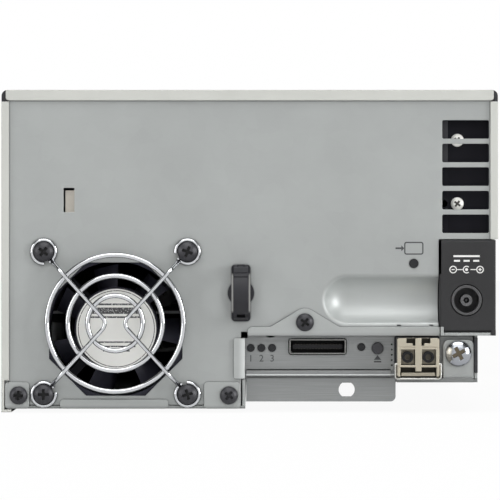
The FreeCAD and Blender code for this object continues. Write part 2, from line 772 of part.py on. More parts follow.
def bracket_flange():
    """Flange over the sockets that rises to a rounded peak for the bracket's screw."""
    near = right(BRACKET_LEFT_FROM_RIGHT) + BRACKET_RELIEF
    end = right(BRACKET_FLANGE_RIGHT)
    middle = right(SCREW_TAB_FROM_RIGHT)
    feet = about(middle, 2 * SCREW_TAB_HALF)
    top = BRACKET_FLANGE_TOP
    peak = top + SCREW_TAB_RISE
    outline = [
        (near, SHELF_Z), (end, SHELF_Z), (end, top), (feet[1], top), (middle, peak), (feet[0], top),
        (near, top)]
    flange = prism_y(outline, (back(-SHEET), back(0)))
    rounds = [
        (SCREW_TAB_PEAK, lambda m: m.z > peak - EPSILON),
        (SCREW_TAB_FOOT, lambda m: abs(m.z - top) < EPSILON and near + EPSILON < m.x < end - EPSILON),
        (FLANGE_CORNER, lambda m: abs(m.z - top) < EPSILON and m.x < near + EPSILON),
    ]
    for radius, test in rounds:
        flange = flange.makeFillet(radius, edges_along(flange, V(0, 1, 0), test))
    return flange


def socket_sheet(y):
    """Face of the bracket above the transceiver's cage and on behind the ear, clear of the ear's collar."""
    start = bracket_end()
    beyond = sfp_x() + cage_half() + BRACKET_END_GAP
    cage_top = body_bottom() + SFP_BODY_HEIGHT + SLIDE_GAP + CAGE_WALL
    over = block((start, beyond), y, (cage_top + BRACKET_END_GAP, SHELF_TOP))
    ear_top = STEP_TOP + SHEET + 2 * GAP
    wing = block((beyond, ear_x()[1]), y, (ear_top, SHELF_Z - GAP))
    collar = rod_y(collar_radius() + GAP, sum(ear_x()) / 2, EAR_SCREW_Z, (y[0] - 1, y[1] + 1))
    return over.fuse(wing).cut(collar)


def double_d(x, z, y):
    """Round hole with a flat above and below."""
    return rod_y(MOUNT_HOLE_RADIUS, x, z, y).common(block((-FAR, FAR), y, about(z, MOUNT_HOLE_FLATS)))


def control_bracket():
    """Bent sheet that holds the sockets: screw flange, recessed face, ledge and lower mounting tab."""
    web = right(BRACKET_LEFT_FROM_RIGHT)
    end = bracket_end()
    face = (back(FACE_SETBACK), back(FACE_SETBACK + SHEET))
    lip = (back(-SHEET), back(0))
    inner = step_x() + GAP
    plate = block((web, end), face, (SIDE_TAB_BOTTOM, SHELF_TOP))
    tab = block((inner, end), face, (MOUNT_TAB_BOTTOM, SHELF_TOP))
    low_right = lambda m: m.z < MOUNT_TAB_BOTTOM + EPSILON and m.x > end - EPSILON
    corner = edges_along(tab, V(0, 1, 0), low_right)
    tab = tab.makeFillet(MOUNT_TAB_CORNER, corner)
    roof_x = (web + BRACKET_RELIEF, right(BRACKET_FLANGE_RIGHT))
    roof = block(roof_x, (back(-SHEET), face[1]), (SHELF_Z, SHELF_TOP))
    side_web = block((web, web + SHEET), (back(-SHEET), face[1]), (SIDE_TAB_BOTTOM, SIDE_TAB_TOP))
    side_tab = rounded_block(
        (web + SHEET - SIDE_TAB_WIDTH, web + SHEET), lip, (SIDE_TAB_BOTTOM, SIDE_TAB_TOP), SHEET / 2)
    ledge_x = (inner, end - LEDGE_FROM_END)
    ledge = block(ledge_x, (face[0] - LEDGE_REACH, face[0]), (LEDGE_BOTTOM, LEDGE_TOP))
    bracket = union(plate, tab, roof, bracket_flange(), side_web, side_tab, ledge, socket_sheet(face))
    through = (back(FACE_SETBACK - EPSILON), back(FACE_SETBACK + 2 * SHEET))
    holes = [rod_y(STATUS_LED_RADIUS + RUNNING, right(x), z, through) for x, z in STATUS_LEDS]
    holes.append(rod_y(BUTTON_RADIUS + RUNNING, right(BUTTON_FROM_RIGHT), BUTTON_Z, through))
    holes.append(rod_y(SPARE_HOLE_RADIUS, right(SPARE_HOLE_FROM_RIGHT), SPARE_HOLE_Z, through))
    for index in range(SHIELD_HOLES):
        holes.append(rod_y(SHIELD_HOLE, end - SHIELD_FROM_END, SHIELD_LOW + index * SHIELD_PITCH, through))
    holes.append(connector_form(through, GAP))
    holes.append(block((web - 1, web + BRACKET_RELIEF), through, (SIDE_TAB_TOP, FAR)))
    holes.append(block(ledge_x, through, (LEDGE_TOP, LEDGE_TOP + LEDGE_SLIT)))
    groove = (face[0] - SHEET, face[0] + LEDGE_GROOVE_DEPTH)
    holes.append(block((inner, FAR), groove, (LEDGE_BOTTOM - LEDGE_GROOVE_HEIGHT, LEDGE_BOTTOM)))
    holes.append(double_d(right(MOUNT_HOLE_FROM_RIGHT), MOUNT_HOLE_Z, through))
    hole = CASE_SCREW_SHANK + SHANK_CLEARANCE
    holes.append(rod_y(hole, right(SCREW_TAB_FROM_RIGHT), SCREW_TAB_SCREW_Z, (back(-2 * SHEET), back(0))))
    return bracket.cut(holes)


def connector_form(y, grow):
    """Round-cornered outline of the control connector, grown all round."""
    return rounded_block(
        about(right(CONNECTOR_FROM_RIGHT), CONNECTOR_WIDTH + 2 * grow), y,
        about(CONNECTOR_Z, CONNECTOR_HEIGHT + 2 * grow), CONNECTOR_CORNER + grow)


def control_connector_shell():
    """Drawn metal shell of the control connector."""
    y = (back(FACE_SETBACK - CONNECTOR_PROUD), back(PANEL_BOARD_DEPTH))
    return connector_form(y, 0).cut(connector_form((y[0] - 1, y[1] + 1), -CONNECTOR_WALL))


def control_connector_insert():
    """Moulded insert with a floor and a contact tongue inside the shell."""
    floor = (back(PANEL_BOARD_DEPTH - 2 * CONNECTOR_WALL), back(PANEL_BOARD_DEPTH))
    bed = connector_form(floor, -CONNECTOR_WALL - RUNNING)
    width = CONNECTOR_WIDTH - 4 * CONNECTOR_CORNER
    tongue = block(
        about(right(CONNECTOR_FROM_RIGHT), width), (back(FACE_SETBACK - CONNECTOR_PROUD / 2), floor[1]),
        about(CONNECTOR_Z, TONGUE_HEIGHT))
    return union(bed, tongue)


def status_led_lenses():
    """Round light guides from the panel board to the bracket's face."""
    y = (back(FACE_SETBACK - GAP), back(PANEL_BOARD_DEPTH))
    return [rod_y(STATUS_LED_RADIUS, right(x), z, y) for x, z in STATUS_LEDS]


def cartridge_led_lens():
    """Flanged lens that clips into the rear panel from behind."""
    x = right(CARTRIDGE_LED_FROM_RIGHT)
    stem = rod_y(CARTRIDGE_LED_RADIUS, x, CARTRIDGE_LED_Z, (back(-GAP), back(LENS_LENGTH)))
    flange = rod_y(CARTRIDGE_LED_RADIUS + LENS_FLANGE, x, CARTRIDGE_LED_Z, (back(SHEET), back(2 * SHEET)))
    return union(stem, flange)


def button_tail():
    """Depth of the button's inner end, a travel and a gap short of its switch."""
    return PANEL_BOARD_DEPTH - SHEET - GAP - BUTTON_TRAVEL


def eject_button():
    """Round button with a flange that keeps it behind the bracket's face."""
    x = right(BUTTON_FROM_RIGHT)
    flange_at = FACE_SETBACK + SHEET + GAP
    tip = back(FACE_SETBACK - BUTTON_PROUD)
    stem = rod_y(BUTTON_RADIUS, x, BUTTON_Z, (tip, back(button_tail())))
    crown = [edge for edge in stem.Edges if edge.BoundBox.YMax < tip + EPSILON]
    stem = stem.makeFillet(BUTTON_PROUD / 4, crown)
    flange = rod_y(BUTTON_RADIUS + BUTTON_FLANGE, x, BUTTON_Z, (back(flange_at), back(flange_at + SHEET)))
    return union(stem, flange)


def eject_switch():
    """Flat push switch on the panel board."""
    y = (back(PANEL_BOARD_DEPTH - SHEET), back(PANEL_BOARD_DEPTH))
    return rounded_block(
        about(right(BUTTON_FROM_RIGHT), SWITCH_SIZE), y, about(BUTTON_Z, SWITCH_SIZE), SHEET / 2)


def panel_board():
    """Upright board behind the bracket's face that carries lamps, switch and connector."""
    y = (back(PANEL_BOARD_DEPTH), back(PANEL_BOARD_DEPTH + BOARD_THICK))
    x = (step_x() + SHEET, bracket_end())
    return block(x, y, (interface_top() + GAP, SHELF_Z - GAP))


def interface_x():
    """Sides of the interface board."""
    post = DECK_WIDTH / 2 - POST_INSET - POST_RADIUS
    return step_x() + SHEET, post - INTERFACE_FROM_POST


def interface_top():
    """Height of the interface board's upper face."""
    return STEP_TOP + INTERFACE_LIFT + BOARD_THICK


def interface_board():
    """Flat board under the transceiver cage."""
    y = (back(FACE_SETBACK + SHEET + 2 * GAP), back(INTERFACE_LENGTH))
    return block(interface_x(), y, (interface_top() - BOARD_THICK, interface_top()))


def ear_x():
    """(low, high) of the ear, beside the pan's riser."""
    edge = right(RISER_FROM_RIGHT) - SHEET - GAP
    return edge - EAR_WIDTH, edge


def sfp_x():
    """X of the transceiver's middle, beside the ear."""
    return ear_x()[0] - SFP_FROM_EAR - cage_half()


def cage_half():
    """Half width of the transceiver's cage."""
    return SFP_BODY_WIDTH / 2 + SLIDE_GAP + CAGE_WALL


def bracket_end():
    """X of the control bracket's right end, beside the cage."""
    return sfp_x() - cage_half() - BRACKET_END_GAP


def collar_radius():
    """Outside of the ear's collar."""
    return EAR_SCREW_SHANK + SHANK_CLEARANCE + 2 * COLLAR_WALL


def bracket_ear():
    """Small angle plate on the raised floor with a collar for the large screw."""
    x = ear_x()
    low = STEP_TOP + GAP
    plate = block(x, (back(0), back(SHEET)), (low, EAR_TOP))
    top = edges_along(plate, V(0, 1, 0), lambda m: m.z > EAR_TOP - EPSILON)
    plate = plate.makeFillet(EAR_CORNER, top)
    foot = block(x, (back(0), back(EAR_FOOT)), (low, low + SHEET))
    middle = sum(x) / 2
    hole = EAR_SCREW_SHANK + SHANK_CLEARANCE
    collar = rod_y(collar_radius(), middle, EAR_SCREW_Z, (back(0), back(SHEET + 2 * COLLAR_LENGTH)))
    return union(plate, foot, collar).cut(rod_y(hole, middle, EAR_SCREW_Z, (back(-1), back(EAR_FOOT))))


def ear_screw():
    """Large zinc screw in the ear."""
    middle = sum(ear_x()) / 2
    return pan_screw(
        middle, EAR_SCREW_Z, back(0), EAR_SCREW_HEAD, EAR_SCREW_HEIGHT, EAR_SCREW_SHANK, EAR_SCREW_LENGTH,
        EAR_SCREW_TURN)


def fan_front():
    """Depth of the fan's front face, against the holder."""
    return SHEET + HOLDER_THICK


def fan_holder():
    """Moulded plate between panel and fan, with tapped corners and a rim round the fan."""
    x = left(FAN_FROM_LEFT)
    outline = [
        about(x, spread(GUARD_PITCH_X) + 2 * HOLDER_MARGIN),
        about(FAN_Z + GUARD_LIFT, spread(GUARD_PITCH_Z) + 2 * HOLDER_MARGIN)]
    rim_end = back(fan_front() + 2 * HOLDER_RIM)
    plate = rounded_block(outline[0], (back(SHEET), back(fan_front())), outline[1], HOLDER_MARGIN)
    inner = spread(FAN_SIZE) + 2 * GAP
    length = (back(SHEET), rim_end)
    wall = inner + 2 * HOLDER_RIM
    rim = block(outline[0], length, outline[1]).common(block(about(x, wall), length, about(FAN_Z, wall)))
    nest = block(about(x, inner), (back(fan_front()), back(FAR)), about(FAN_Z, inner))
    holder = union(plate, rim).cut(nest)
    bore = rod_y(spread(FAN_BORE), x, FAN_Z, (back(0), back(FAR)))
    holes = [rod_y(CASE_SCREW_SHANK + RUNNING, sx, sz, (back(0), back(FAR))) for sx, sz in guard_spots()]
    return holder.cut([bore] + holes)


def fan_frame():
    """Square fan frame with a round bore, corner holes, rear struts and the bearing tube."""
    x = left(FAN_FROM_LEFT)
    near = back(fan_front())
    far = near + FAN_THICK
    plate = far - MOTOR_PLATE
    frame = rounded_block(about(x, spread(FAN_SIZE)), (near, far), about(FAN_Z, spread(FAN_SIZE)), FAN_CORNER)
    frame = frame.cut(rod_y(spread(FAN_BORE), x, FAN_Z, (near - 1, far + 1)))
    struts = []
    for index in range(STRUT_COUNT):
        strut = block((spread(HUB_RADIUS) / 2, spread(FAN_BORE) + SHEET), (plate, far), about(0, STRUT_WIDTH))
        strut.rotate(V(0, 0, 0), V(0, 1, 0), 45 + index * 360 / STRUT_COUNT)
        strut.translate(V(x, 0, FAN_Z))
        struts.append(strut)
    disc = rod_y(spread(HUB_RADIUS), x, FAN_Z, (plate, far))
    tube = rod_y(bearing_radius(), x, FAN_Z, (hub_front() + 2 * HUB_WALL, plate))
    holes = [rod_y(FAN_HOLE, hx, hz, (near - 1, far + 1))
             for hx in about(x, spread(FAN_HOLE_PITCH)) for hz in about(FAN_Z, spread(FAN_HOLE_PITCH))]
    bore = rod_y(FAN_SHAFT + RUNNING, x, FAN_Z, (near, far - MOTOR_PLATE / 2))
    return union(frame, disc, tube, *struts).cut(holes + [bore])


def bearing_radius():
    """Outside of the fan's bearing tube."""
    return FAN_SHAFT + RUNNING + BEARING_WALL


def hub_front():
    """Y of the impeller hub's front face."""
    return back(fan_front() + HUB_SETBACK)


def blade_section(radius, lead, trail):
    """Curved thin section of a blade on a plane at a radius; lead and trail are (tangential, axial)."""
    belly = V(0, (lead[0] + trail[0]) / 2 + BLADE_THICK, (lead[1] + trail[1]) / 2 - BLADE_THICK)
    a = V(radius, lead[1], lead[0])
    b = V(radius, trail[1], trail[0])
    middle = V(radius, belly.z, belly.y)
    thick = V(0, BLADE_THICK, 0)
    edges = [
        Part.Arc(a, middle, b).toShape(), Part.makeLine(b, b + thick),
        Part.Arc(b + thick, middle + thick, a + thick).toShape(), Part.makeLine(a + thick, a)]
    return Part.Wire(edges)


def fan_impeller():
    """Hub cup on its shaft with swept blades round it."""
    front_face = hub_front()
    cup = Part.makeCylinder(spread(HUB_RADIUS), HUB_LENGTH, V(0, 0, 0), V(0, 1, 0))
    nose = [edge for edge in cup.Edges if edge.BoundBox.YMax < EPSILON]
    cup = cup.makeFillet(HUB_WALL / 2, nose)
    cup = cup.cut(Part.makeCylinder(spread(HUB_RADIUS) - HUB_WALL, HUB_LENGTH, V(0, HUB_WALL, 0), V(0, 1, 0)))
    shaft_end = FAN_THICK - HUB_SETBACK - MOTOR_PLATE
    shaft = Part.makeCylinder(FAN_SHAFT, shaft_end - EPSILON, V(0, EPSILON, 0), V(0, 1, 0))
    trail = (BLADE_SWEEP, HUB_LENGTH - 2 * BLADE_THICK)
    root = blade_section(spread(HUB_RADIUS) - HUB_WALL / 2, (-BLADE_SWEEP, HUB_WALL), trail)
    tip = blade_section(spread(BLADE_TIP), (-TIP_SWEEP, 2 * HUB_WALL), trail)
    blade = Part.makeLoft([root, tip], True, True)
    blades = []
    for index in range(BLADE_COUNT):
        copy = blade.copy()
        copy.rotate(V(0, 0, 0), V(0, 1, 0), index * 360 / BLADE_COUNT)
        blades.append(copy)
    impeller = union(cup, shaft, *blades)
    impeller.translate(V(left(FAN_FROM_LEFT), front_face, FAN_Z))
    return impeller


def fan_label():
    """Round label on the hub's face."""
    y = (hub_front() - LABEL_THICK, hub_front())
    return rod_y(spread(HUB_RADIUS) - HUB_WALL / 2, left(FAN_FROM_LEFT), FAN_Z, y)


def fan_stator():
    """Wound core on the bearing tube inside the hub."""
    y = (hub_front() + 3 * HUB_WALL, back(fan_front() + FAN_THICK - MOTOR_PLATE))
    outer = spread(HUB_RADIUS) - 2 * HUB_WALL
    return tube_y(outer, bearing_radius() + RUNNING, left(FAN_FROM_LEFT), FAN_Z, y)


def bent_rod(points, bend, radius):
    """Round rod along straight runs joined by tangent arcs."""
    edges = []
    start = points[0]
    for before, corner, after in zip(points, points[1:], points[2:]):
        inward = (before - corner).normalize()
        outward = (after - corner).normalize()
        half = inward.getAngle(outward) / 2
        reach = bend / math.tan(half)
        middle = corner + (inward + outward).normalize() * (bend / math.sin(half) - bend)
        arc_start = corner + inward * reach
        arc_end = corner + outward * reach
        edges += [Part.makeLine(start, arc_start), Part.Arc(arc_start, middle, arc_end).toShape()]
        start = arc_end
    edges.append(Part.makeLine(start, points[-1]))
    along = points[1] - points[0]
    profile = Part.Wire([Part.makeCircle(radius, points[0], along)])
    return Part.Wire(edges).makePipeShell([profile], True, False)


def guard_centre():
    """Middle of the fan guard as (x, z)."""
    return left(FAN_FROM_LEFT), FAN_Z + GUARD_LIFT


def hook(eye, towards):
    """Open wire eye about a screw that starts where its spoke comes in."""
    ring = Part.makeTorus(LOOP_RADIUS, SPOKE_WIRE, V(0, 0, 0), V(0, 0, 1), -180, 180, LOOP_SWEEP)
    ring.rotate(V(0, 0, 0), V(1, 0, 0), 90)
    ring.rotate(V(0, 0, 0), V(0, 1, 0), LOOP_OVERLAP - math.degrees(math.atan2(towards.z, towards.x)))
    ring.translate(eye)
    return ring


def fan_guard():
    """Three wire rings under two bent spokes whose ends turn into screw eyes."""
    x, z = guard_centre()
    ring_y = back(-RING_STANDOFF)
    spoke_y = ring_y - RING_WIRE - SPOKE_WIRE + WELD
    eye_y = back(-SPOKE_WIRE - RUNNING)
    middle = V(x, ring_y, z)
    pieces = [Part.makeTorus(spread(radius), RING_WIRE, middle, V(0, 1, 0)) for radius in GUARD_RINGS]
    for side in (-1, 1):
        bend = V(x + side * SPOKE_BEND_GAP / 2, spoke_y, z)
        runs = []
        for lift in (1, -1):
            eye = V(x + side * spread(GUARD_PITCH_X) / 2, eye_y, z + lift * spread(GUARD_PITCH_Z) / 2)
            towards = V(bend.x - eye.x, 0, bend.z - eye.z).normalize()
            foot = eye + towards * LOOP_RADIUS
            knee = foot + towards * SPOKE_BEND_GAP
            knee.y = spoke_y
            runs.append([foot, knee])
            pieces.append(hook(eye, towards))
        upper, lower = runs
        pieces.append(bent_rod(upper + [bend] + lower[::-1], SPOKE_BEND_RADIUS / 2, SPOKE_WIRE))
    return union(*pieces)


def fan_guard_screws():
    """Four black screws through the guard's eyes."""
    face = back(-2 * SPOKE_WIRE - RUNNING)
    sizes = (GUARD_SCREW_HEAD, BLACK_HEAD_HEIGHT, CASE_SCREW_SHANK, GUARD_SCREW_LENGTH)
    return [pan_screw(x, z, face, *sizes, turn=index * SCREW_TURN)
            for index, (x, z) in enumerate(guard_spots())]


def dc_inlet_housing():
    """Moulded block that fills the panel's corner, with a round well for the jack."""
    x = (right(DC_FROM_RIGHT), HALF - DC_SIDE_INSET)
    y = (back(-DC_PROUD), back(DC_DEPTH))
    z = (SHELF_TOP + GAP, DC_TOP)
    housing = block(x, y, z)
    rims = [edge for edge in housing.Edges if edge.BoundBox.YMax < y[0] + EPSILON]
    housing = housing.makeChamfer(DC_EDGE, rims)
    step = block((x[0] - 1, x[0] + DC_STEP), (y[0] - 1, y[1] + 1), (DC_STEP_Z, z[1] + 1))
    well = rod_y(JACK_RIM, right(JACK_FROM_RIGHT), JACK_Z, (y[0] - 1, back(JACK_DEPTH)))
    apron = block((PANEL_EDGE + GAP, x[1]), (y[0], back(-GAP)), (SHELF_Z, z[0] + DC_STEP))
    return housing.cut([step, well]).fuse(apron)


def dc_jack():
    """Barrel jack: sleeve with a rounded rim, recess, hollow centre post and a pin in it."""
    x = right(JACK_FROM_RIGHT)
    rim = back(-DC_PROUD - GAP)
    floor = back(JACK_DEPTH - 2 * SHEET)
    body = rod_y(JACK_RIM - GAP, x, JACK_Z, (rim, back(JACK_DEPTH)))
    body = body.makeFillet(GAP, [edge for edge in body.Edges if edge.BoundBox.YMax < rim + EPSILON])
    body = body.cut(rod_y(JACK_RECESS, x, JACK_Z, (rim - 1, floor)))
    post = rod_y(JACK_POST, x, JACK_Z, (back(0), back(JACK_DEPTH)))
    pin = rod_y(JACK_PIN, x, JACK_Z, (back(SHEET), back(JACK_DEPTH)))
    return union(body, post).cut(rod_y(JACK_HOLE, x, JACK_Z, (rim - 1, floor))).fuse(pin)


def clamp_pivot():
    """Y and Z of the cord clamp's hinge."""
    return back(-CLAMP_BASE_THICK - CLAMP_BARREL), CLAMP_Z + CLAMP_HEIGHT / 2 - CLAMP_BARREL


def clamp_ears():
    """X ranges of the base's two hinge ears."""
    x = right(CLAMP_FROM_RIGHT)
    inner = CLAMP_WIDTH / 4
    outer = CLAMP_WIDTH / 2
    return (x - outer, x - inner), (x + inner, x + outer)


def cord_clamp_base():
    """Nylon base that snaps into the panel, with a round flange, latch hook and hinge ears."""
    x = right(CLAMP_FROM_RIGHT)
    y, z = clamp_pivot()
    face = back(-CLAMP_BASE_THICK)
    thick = (face, back(0))
    foot = rounded_block(about(x, CLAMP_BASE_WIDTH), thick, about(CLAMP_Z, CLAMP_HEIGHT), CLAMP_BARREL)
    flange = rod_y(CLAMP_FLANGE, x, CLAMP_Z, thick)
    post = rod_y(CLAMP_POST, x, CLAMP_Z, (back(-SHEET), back(2 * SHEET)))
    barb = Part.makeCone(
        CLAMP_POST + GAP, CLAMP_POST / 2, 3 * SHEET, V(x, back(SHEET + RUNNING), CLAMP_Z), V(0, 1, 0))
    half = CLAMP_WIDTH / 2
    pieces = [foot, flange, post, barb, rod(CLAMP_PIN, (x - half, y, z), (x + half, y, z))]
    for low, high in clamp_ears():
        pieces.append(rod(CLAMP_BARREL, (low, y, z), (high, y, z)))
        pieces.append(block((low, high), (y, back(-SHEET)), about(z, 2 * CLAMP_BARREL)))
    hook_y = (face - CLAMP_STRAP, back(-SHEET))
    hook_z = about(latch_middle(), LATCH_HEIGHT - 2 * GAP)
    pieces.append(block(about(x, LATCH_WIDTH - 2 * GAP), hook_y, hook_z))
    return union(*pieces)


def strap_radius():
    """Outer radius of the strap's arch about the hinge's depth."""
    return CLAMP_REACH - CLAMP_BASE_THICK - CLAMP_BARREL


def latch_middle():
    """Height of the latch window, in the strap's lower end."""
    return CLAMP_Z - strap_radius() + CLAMP_STRAP - LATCH_HEIGHT / 2


def cord_clamp_strap():
    """Arched strap on the base's hinge pin, open to the left and right for a cord."""
    x = about(right(CLAMP_FROM_RIGHT), CLAMP_WIDTH)
    y, z = clamp_pivot()
    outer = strap_radius()
    arch = rod(outer, (x[0], y, CLAMP_Z), (x[1], y, CLAMP_Z))
    arch = arch.cut(rod(outer - CLAMP_STRAP, (x[0] - 1, y, CLAMP_Z), (x[1] + 1, y, CLAMP_Z)))
    arch = arch.common(block(x, (back(-FAR), y), (0, FAR)))
    low = CLAMP_Z - outer
    leg = block(x, (y - SHEET, back(-CLAMP_BASE_THICK - GAP)), (low, low + CLAMP_STRAP))
    ears = clamp_ears()
    barrel = rod(CLAMP_BARREL - GAP, (ears[0][1] + GAP, y, z), (ears[1][0] - GAP, y, z))
    window = block(
        about(right(CLAMP_FROM_RIGHT), LATCH_WIDTH), (y - outer, back(0)),
        about(latch_middle(), LATCH_HEIGHT))
    room = [rod(CLAMP_BARREL + GAP, (a, y, z), (b, y, z))
            for a, b in ((x[0] - 1, ears[0][1] + GAP), (ears[1][0] - GAP, x[1] + 1))]
    grooves = []
    for rise in CLAMP_GROOVES:
        skin = y - math.sqrt(outer ** 2 - rise ** 2)
        grooves.append(block(x, (y - outer, skin + CLAMP_GROOVE), about(CLAMP_Z + rise, CLAMP_GROOVE)))
    pin = rod(CLAMP_PIN + RUNNING, (x[0], y, z), (x[1], y, z))
    return union(arch, leg, barrel).cut(room + grooves + [pin, window])


def body_bottom():
    """Height of the transceiver body's underside in its cage."""
    return interface_top() + CAGE_WALL + SLIDE_GAP


def sfp_cage():
    """Sheet cage on the interface board, open to the rear."""
    x = sfp_x()
    inner_x = about(x, SFP_BODY_WIDTH + 2 * SLIDE_GAP)
    inner_z = (body_bottom() - SLIDE_GAP, body_bottom() + SFP_BODY_HEIGHT + SLIDE_GAP)
    end = SFP_BODY_LENGTH + SLIDE_GAP
    outer = block(
        (inner_x[0] - CAGE_WALL, inner_x[1] + CAGE_WALL), (back(0), back(end + CAGE_WALL)),
        (inner_z[0] - CAGE_WALL, inner_z[1] + CAGE_WALL))
    return outer.cut(block(inner_x, (back(-1), back(end)), inner_z))


def bail_span():
    """Distance between the middles of the bail's legs."""
    return SFP_HEAD_WIDTH + 2 * (GAP + BAIL_WIRE)


def port_floor():
    """Y of the bottom of the transceiver's two ports."""
    return back(PORT_DEPTH - SFP_REACH)


def sfp_body():
    """Transceiver: long body, taller head with two ports, latch slots and pivot holes."""
    x = sfp_x()
    face = back(-SFP_REACH)
    head_end = back(-GAP)
    head_z = (SFP_HEAD_BOTTOM, SFP_HEAD_TOP)
    head = rounded_block(about(x, SFP_HEAD_WIDTH), (face, head_end), head_z, SHEET / 2)
    low = body_bottom()
    body_y = (head_end - SHEET, back(SFP_BODY_LENGTH))
    body = block(about(x, SFP_BODY_WIDTH), body_y, (low, low + SFP_BODY_HEIGHT))
    cut_y = (face - 1, face + SFP_CUT_DEPTH)
    cuts = [block(about(x, 2 * SFP_FOOT_END), cut_y, (0, SFP_NOTCH_TOP))]
    slots = [
        (SFP_LATCH_END, (SFP_LATCH_BOTTOM, FAR), cut_y), (SFP_KEY_END, SFP_KEY_Z, cut_y),
        (SFP_FOOT_END, SFP_FOOT_Z, cut_y), (SFP_LINE_END, SFP_LINE_Z, (face - 1, face + SFP_LINE_DEPTH))]
    pivot = back(-BAIL_PIVOT_DEPTH)
    for side in (-1, 1):
        port = x + side * PORT_PITCH / 2
        cuts.append(block(about(port, PORT_WIDTH), (face - 1, port_floor()), about(PORT_Z, PORT_HEIGHT)))
        for end, z, y in slots:
            cuts.append(block(sorted((x + side * SFP_POST_HALF, x + side * end)), y, z))
        outside = x + side * SFP_HEAD_WIDTH
        inside = x + side * (SFP_HEAD_WIDTH - SHEET) / 2
        cuts.append(rod(BAIL_PIN + RUNNING, (inside, pivot, BAIL_PIVOT_Z), (outside, pivot, BAIL_PIVOT_Z)))
    return union(head, body).cut(cuts)


def sfp_port_sleeves():
    """Ferrule sleeves that stand on the floors of the two ports."""
    y = (port_floor() - SLEEVE_LENGTH, port_floor())
    places = about(sfp_x(), PORT_PITCH)
    return [tube_y(SLEEVE_RADIUS, SLEEVE_BORE, x, PORT_Z, y) for x in places]


def bail_reach():
    """Distance from the bail's pivot to its bar, which swings clear of the head's lower edge."""
    corner = math.hypot(SFP_REACH - BAIL_PIVOT_DEPTH, BAIL_PIVOT_Z - SFP_HEAD_BOTTOM)
    return corner + GAP / 2 + BAIL_WIRE


def sfp_bail():
    """Wire bail: two legs that hang from pivot pins, joined by a bar under the head."""
    x = sfp_x()
    sides = about(x, bail_span())
    pivot = back(-BAIL_PIVOT_DEPTH)
    low = BAIL_PIVOT_Z - bail_reach()
    path = [V(sides[0], pivot, BAIL_PIVOT_Z), V(sides[0], pivot, low),
            V(sides[1], pivot, low), V(sides[1], pivot, BAIL_PIVOT_Z)]
    pieces = [bent_rod(path, BAIL_BEND, BAIL_WIRE)]
    for side, place in zip((-1, 1), sides):
        inside = x + side * ((SFP_HEAD_WIDTH - SHEET) / 2 + RUNNING)
        pieces.append(rod(BAIL_PIN, (inside, pivot, BAIL_PIVOT_Z), (place, pivot, BAIL_PIVOT_Z)))
        pieces.append(Part.makeSphere(BAIL_WIRE, V(place, pivot, BAIL_PIVOT_Z)))
    return union(*pieces)


def vent_baffle():
    """Dark angle plate a little way behind the vents, fixed along the side wall."""
    z = (VENT_LOW - BAFFLE_MARGIN, VENT_TOP + BAFFLE_MARGIN)
    near = vent_x()[0] - BAFFLE_MARGIN
    plate = block((near, PANEL_EDGE), (back(BAFFLE_DEPTH), back(BAFFLE_DEPTH + SHEET)), z)
    flange_y = (back(BAFFLE_DEPTH), back(BAFFLE_DEPTH + BAFFLE_FLANGE))
    flange = block((PANEL_EDGE - SHEET, PANEL_EDGE), flange_y, z)
    hem_y = (back(BAFFLE_DEPTH - BAFFLE_HEM), back(BAFFLE_DEPTH))
    hem = block((near, vent_x()[0] + BAFFLE_HEM_REACH), hem_y, z)
    through = (back(0), back(BAFFLE_DEPTH + 2 * SHEET))
    x = right(BAFFLE_SCREW_FROM_RIGHT)
    holes = [rod_y(BAFFLE_SCREW_SHANK + RUNNING, x, hz, through) for hz in BAFFLE_SCREWS_Z]
    holes.append(rod_y(BAFFLE_SCREW_SHANK, right(BAFFLE_PIN_HOLE_FROM_RIGHT), BAFFLE_SCREWS_Z[1], through))
    return union(plate, flange, hem).cut(holes)


def baffle_screws():
    """Two zinc screws in the vent baffle."""
    x = right(BAFFLE_SCREW_FROM_RIGHT)
    sizes = (BAFFLE_SCREW_HEAD, BAFFLE_SCREW_HEIGHT, BAFFLE_SCREW_SHANK, CASE_SCREW_LENGTH)
    return [pan_screw(x, z, back(BAFFLE_DEPTH), *sizes, turn=SCREW_TURN) for z in BAFFLE_SCREWS_Z]


def deck_top():
    """Height of the deck's upper face."""
    return DECK_Z + SHEET


def spindle_y():
    """Y of the spindle's axis."""
    return back(DECK_BACK + SPINDLE_FROM_DECK)


def near_lug():
    """Y of the inner face of the lugs beside the spindle."""
    return spindle_y() + SPINDLE_BASE


def far_lug():
    """Y where the lugs at the deck's front end begin, past the sled's travel."""
    return sled_y()[1] + SLED_TRAVEL + SLED_GAP


def deck_y():
    """(low, high) of the deck along the drive."""
    return back(DECK_BACK), far_lug() + LUG_THICK


def rod_z():
    """Height of the guide rods and the sled's screw."""
    return deck_top() + ROD_HEIGHT


def rod_places():
    """X of the two guide rods."""
    return about(0, ROD_SPACING)


def deck_plate():
    """Base of the disc mechanism with upright lugs for the rods and the screw."""
    plate = rounded_block(about(0, DECK_WIDTH), deck_y(), (DECK_Z, deck_top()), POST_INSET, V(0, 0, 1))
    lug_z = (DECK_Z, rod_z() + LUG_WIDTH / 2)
    lugs = []
    holes = []
    for x in list(rod_places()) + [-SCREW_OFFSET]:
        near = (near_lug(), near_lug() + LUG_THICK)
        lugs.append(block(about(x, LUG_WIDTH), near, lug_z))
        holes.append(rod_y(ROD_RADIUS + RUNNING, x, rod_z(), near))
    for x in rod_places():
        far = (far_lug(), far_lug() + LUG_THICK)
        lugs.append(block(about(x, LUG_WIDTH), far, lug_z))
        holes.append(rod_y(ROD_RADIUS + RUNNING, x, rod_z(), far))
    return union(plate, *lugs).cut(holes)


def deck_dampers():
    """Rubber mounts between the pan's posts and the deck."""
    return [rod(DAMPER_RADIUS, (x, y, DECK_Z - DAMPER_HEIGHT), (x, y, DECK_Z)) for x, y in deck_posts()]


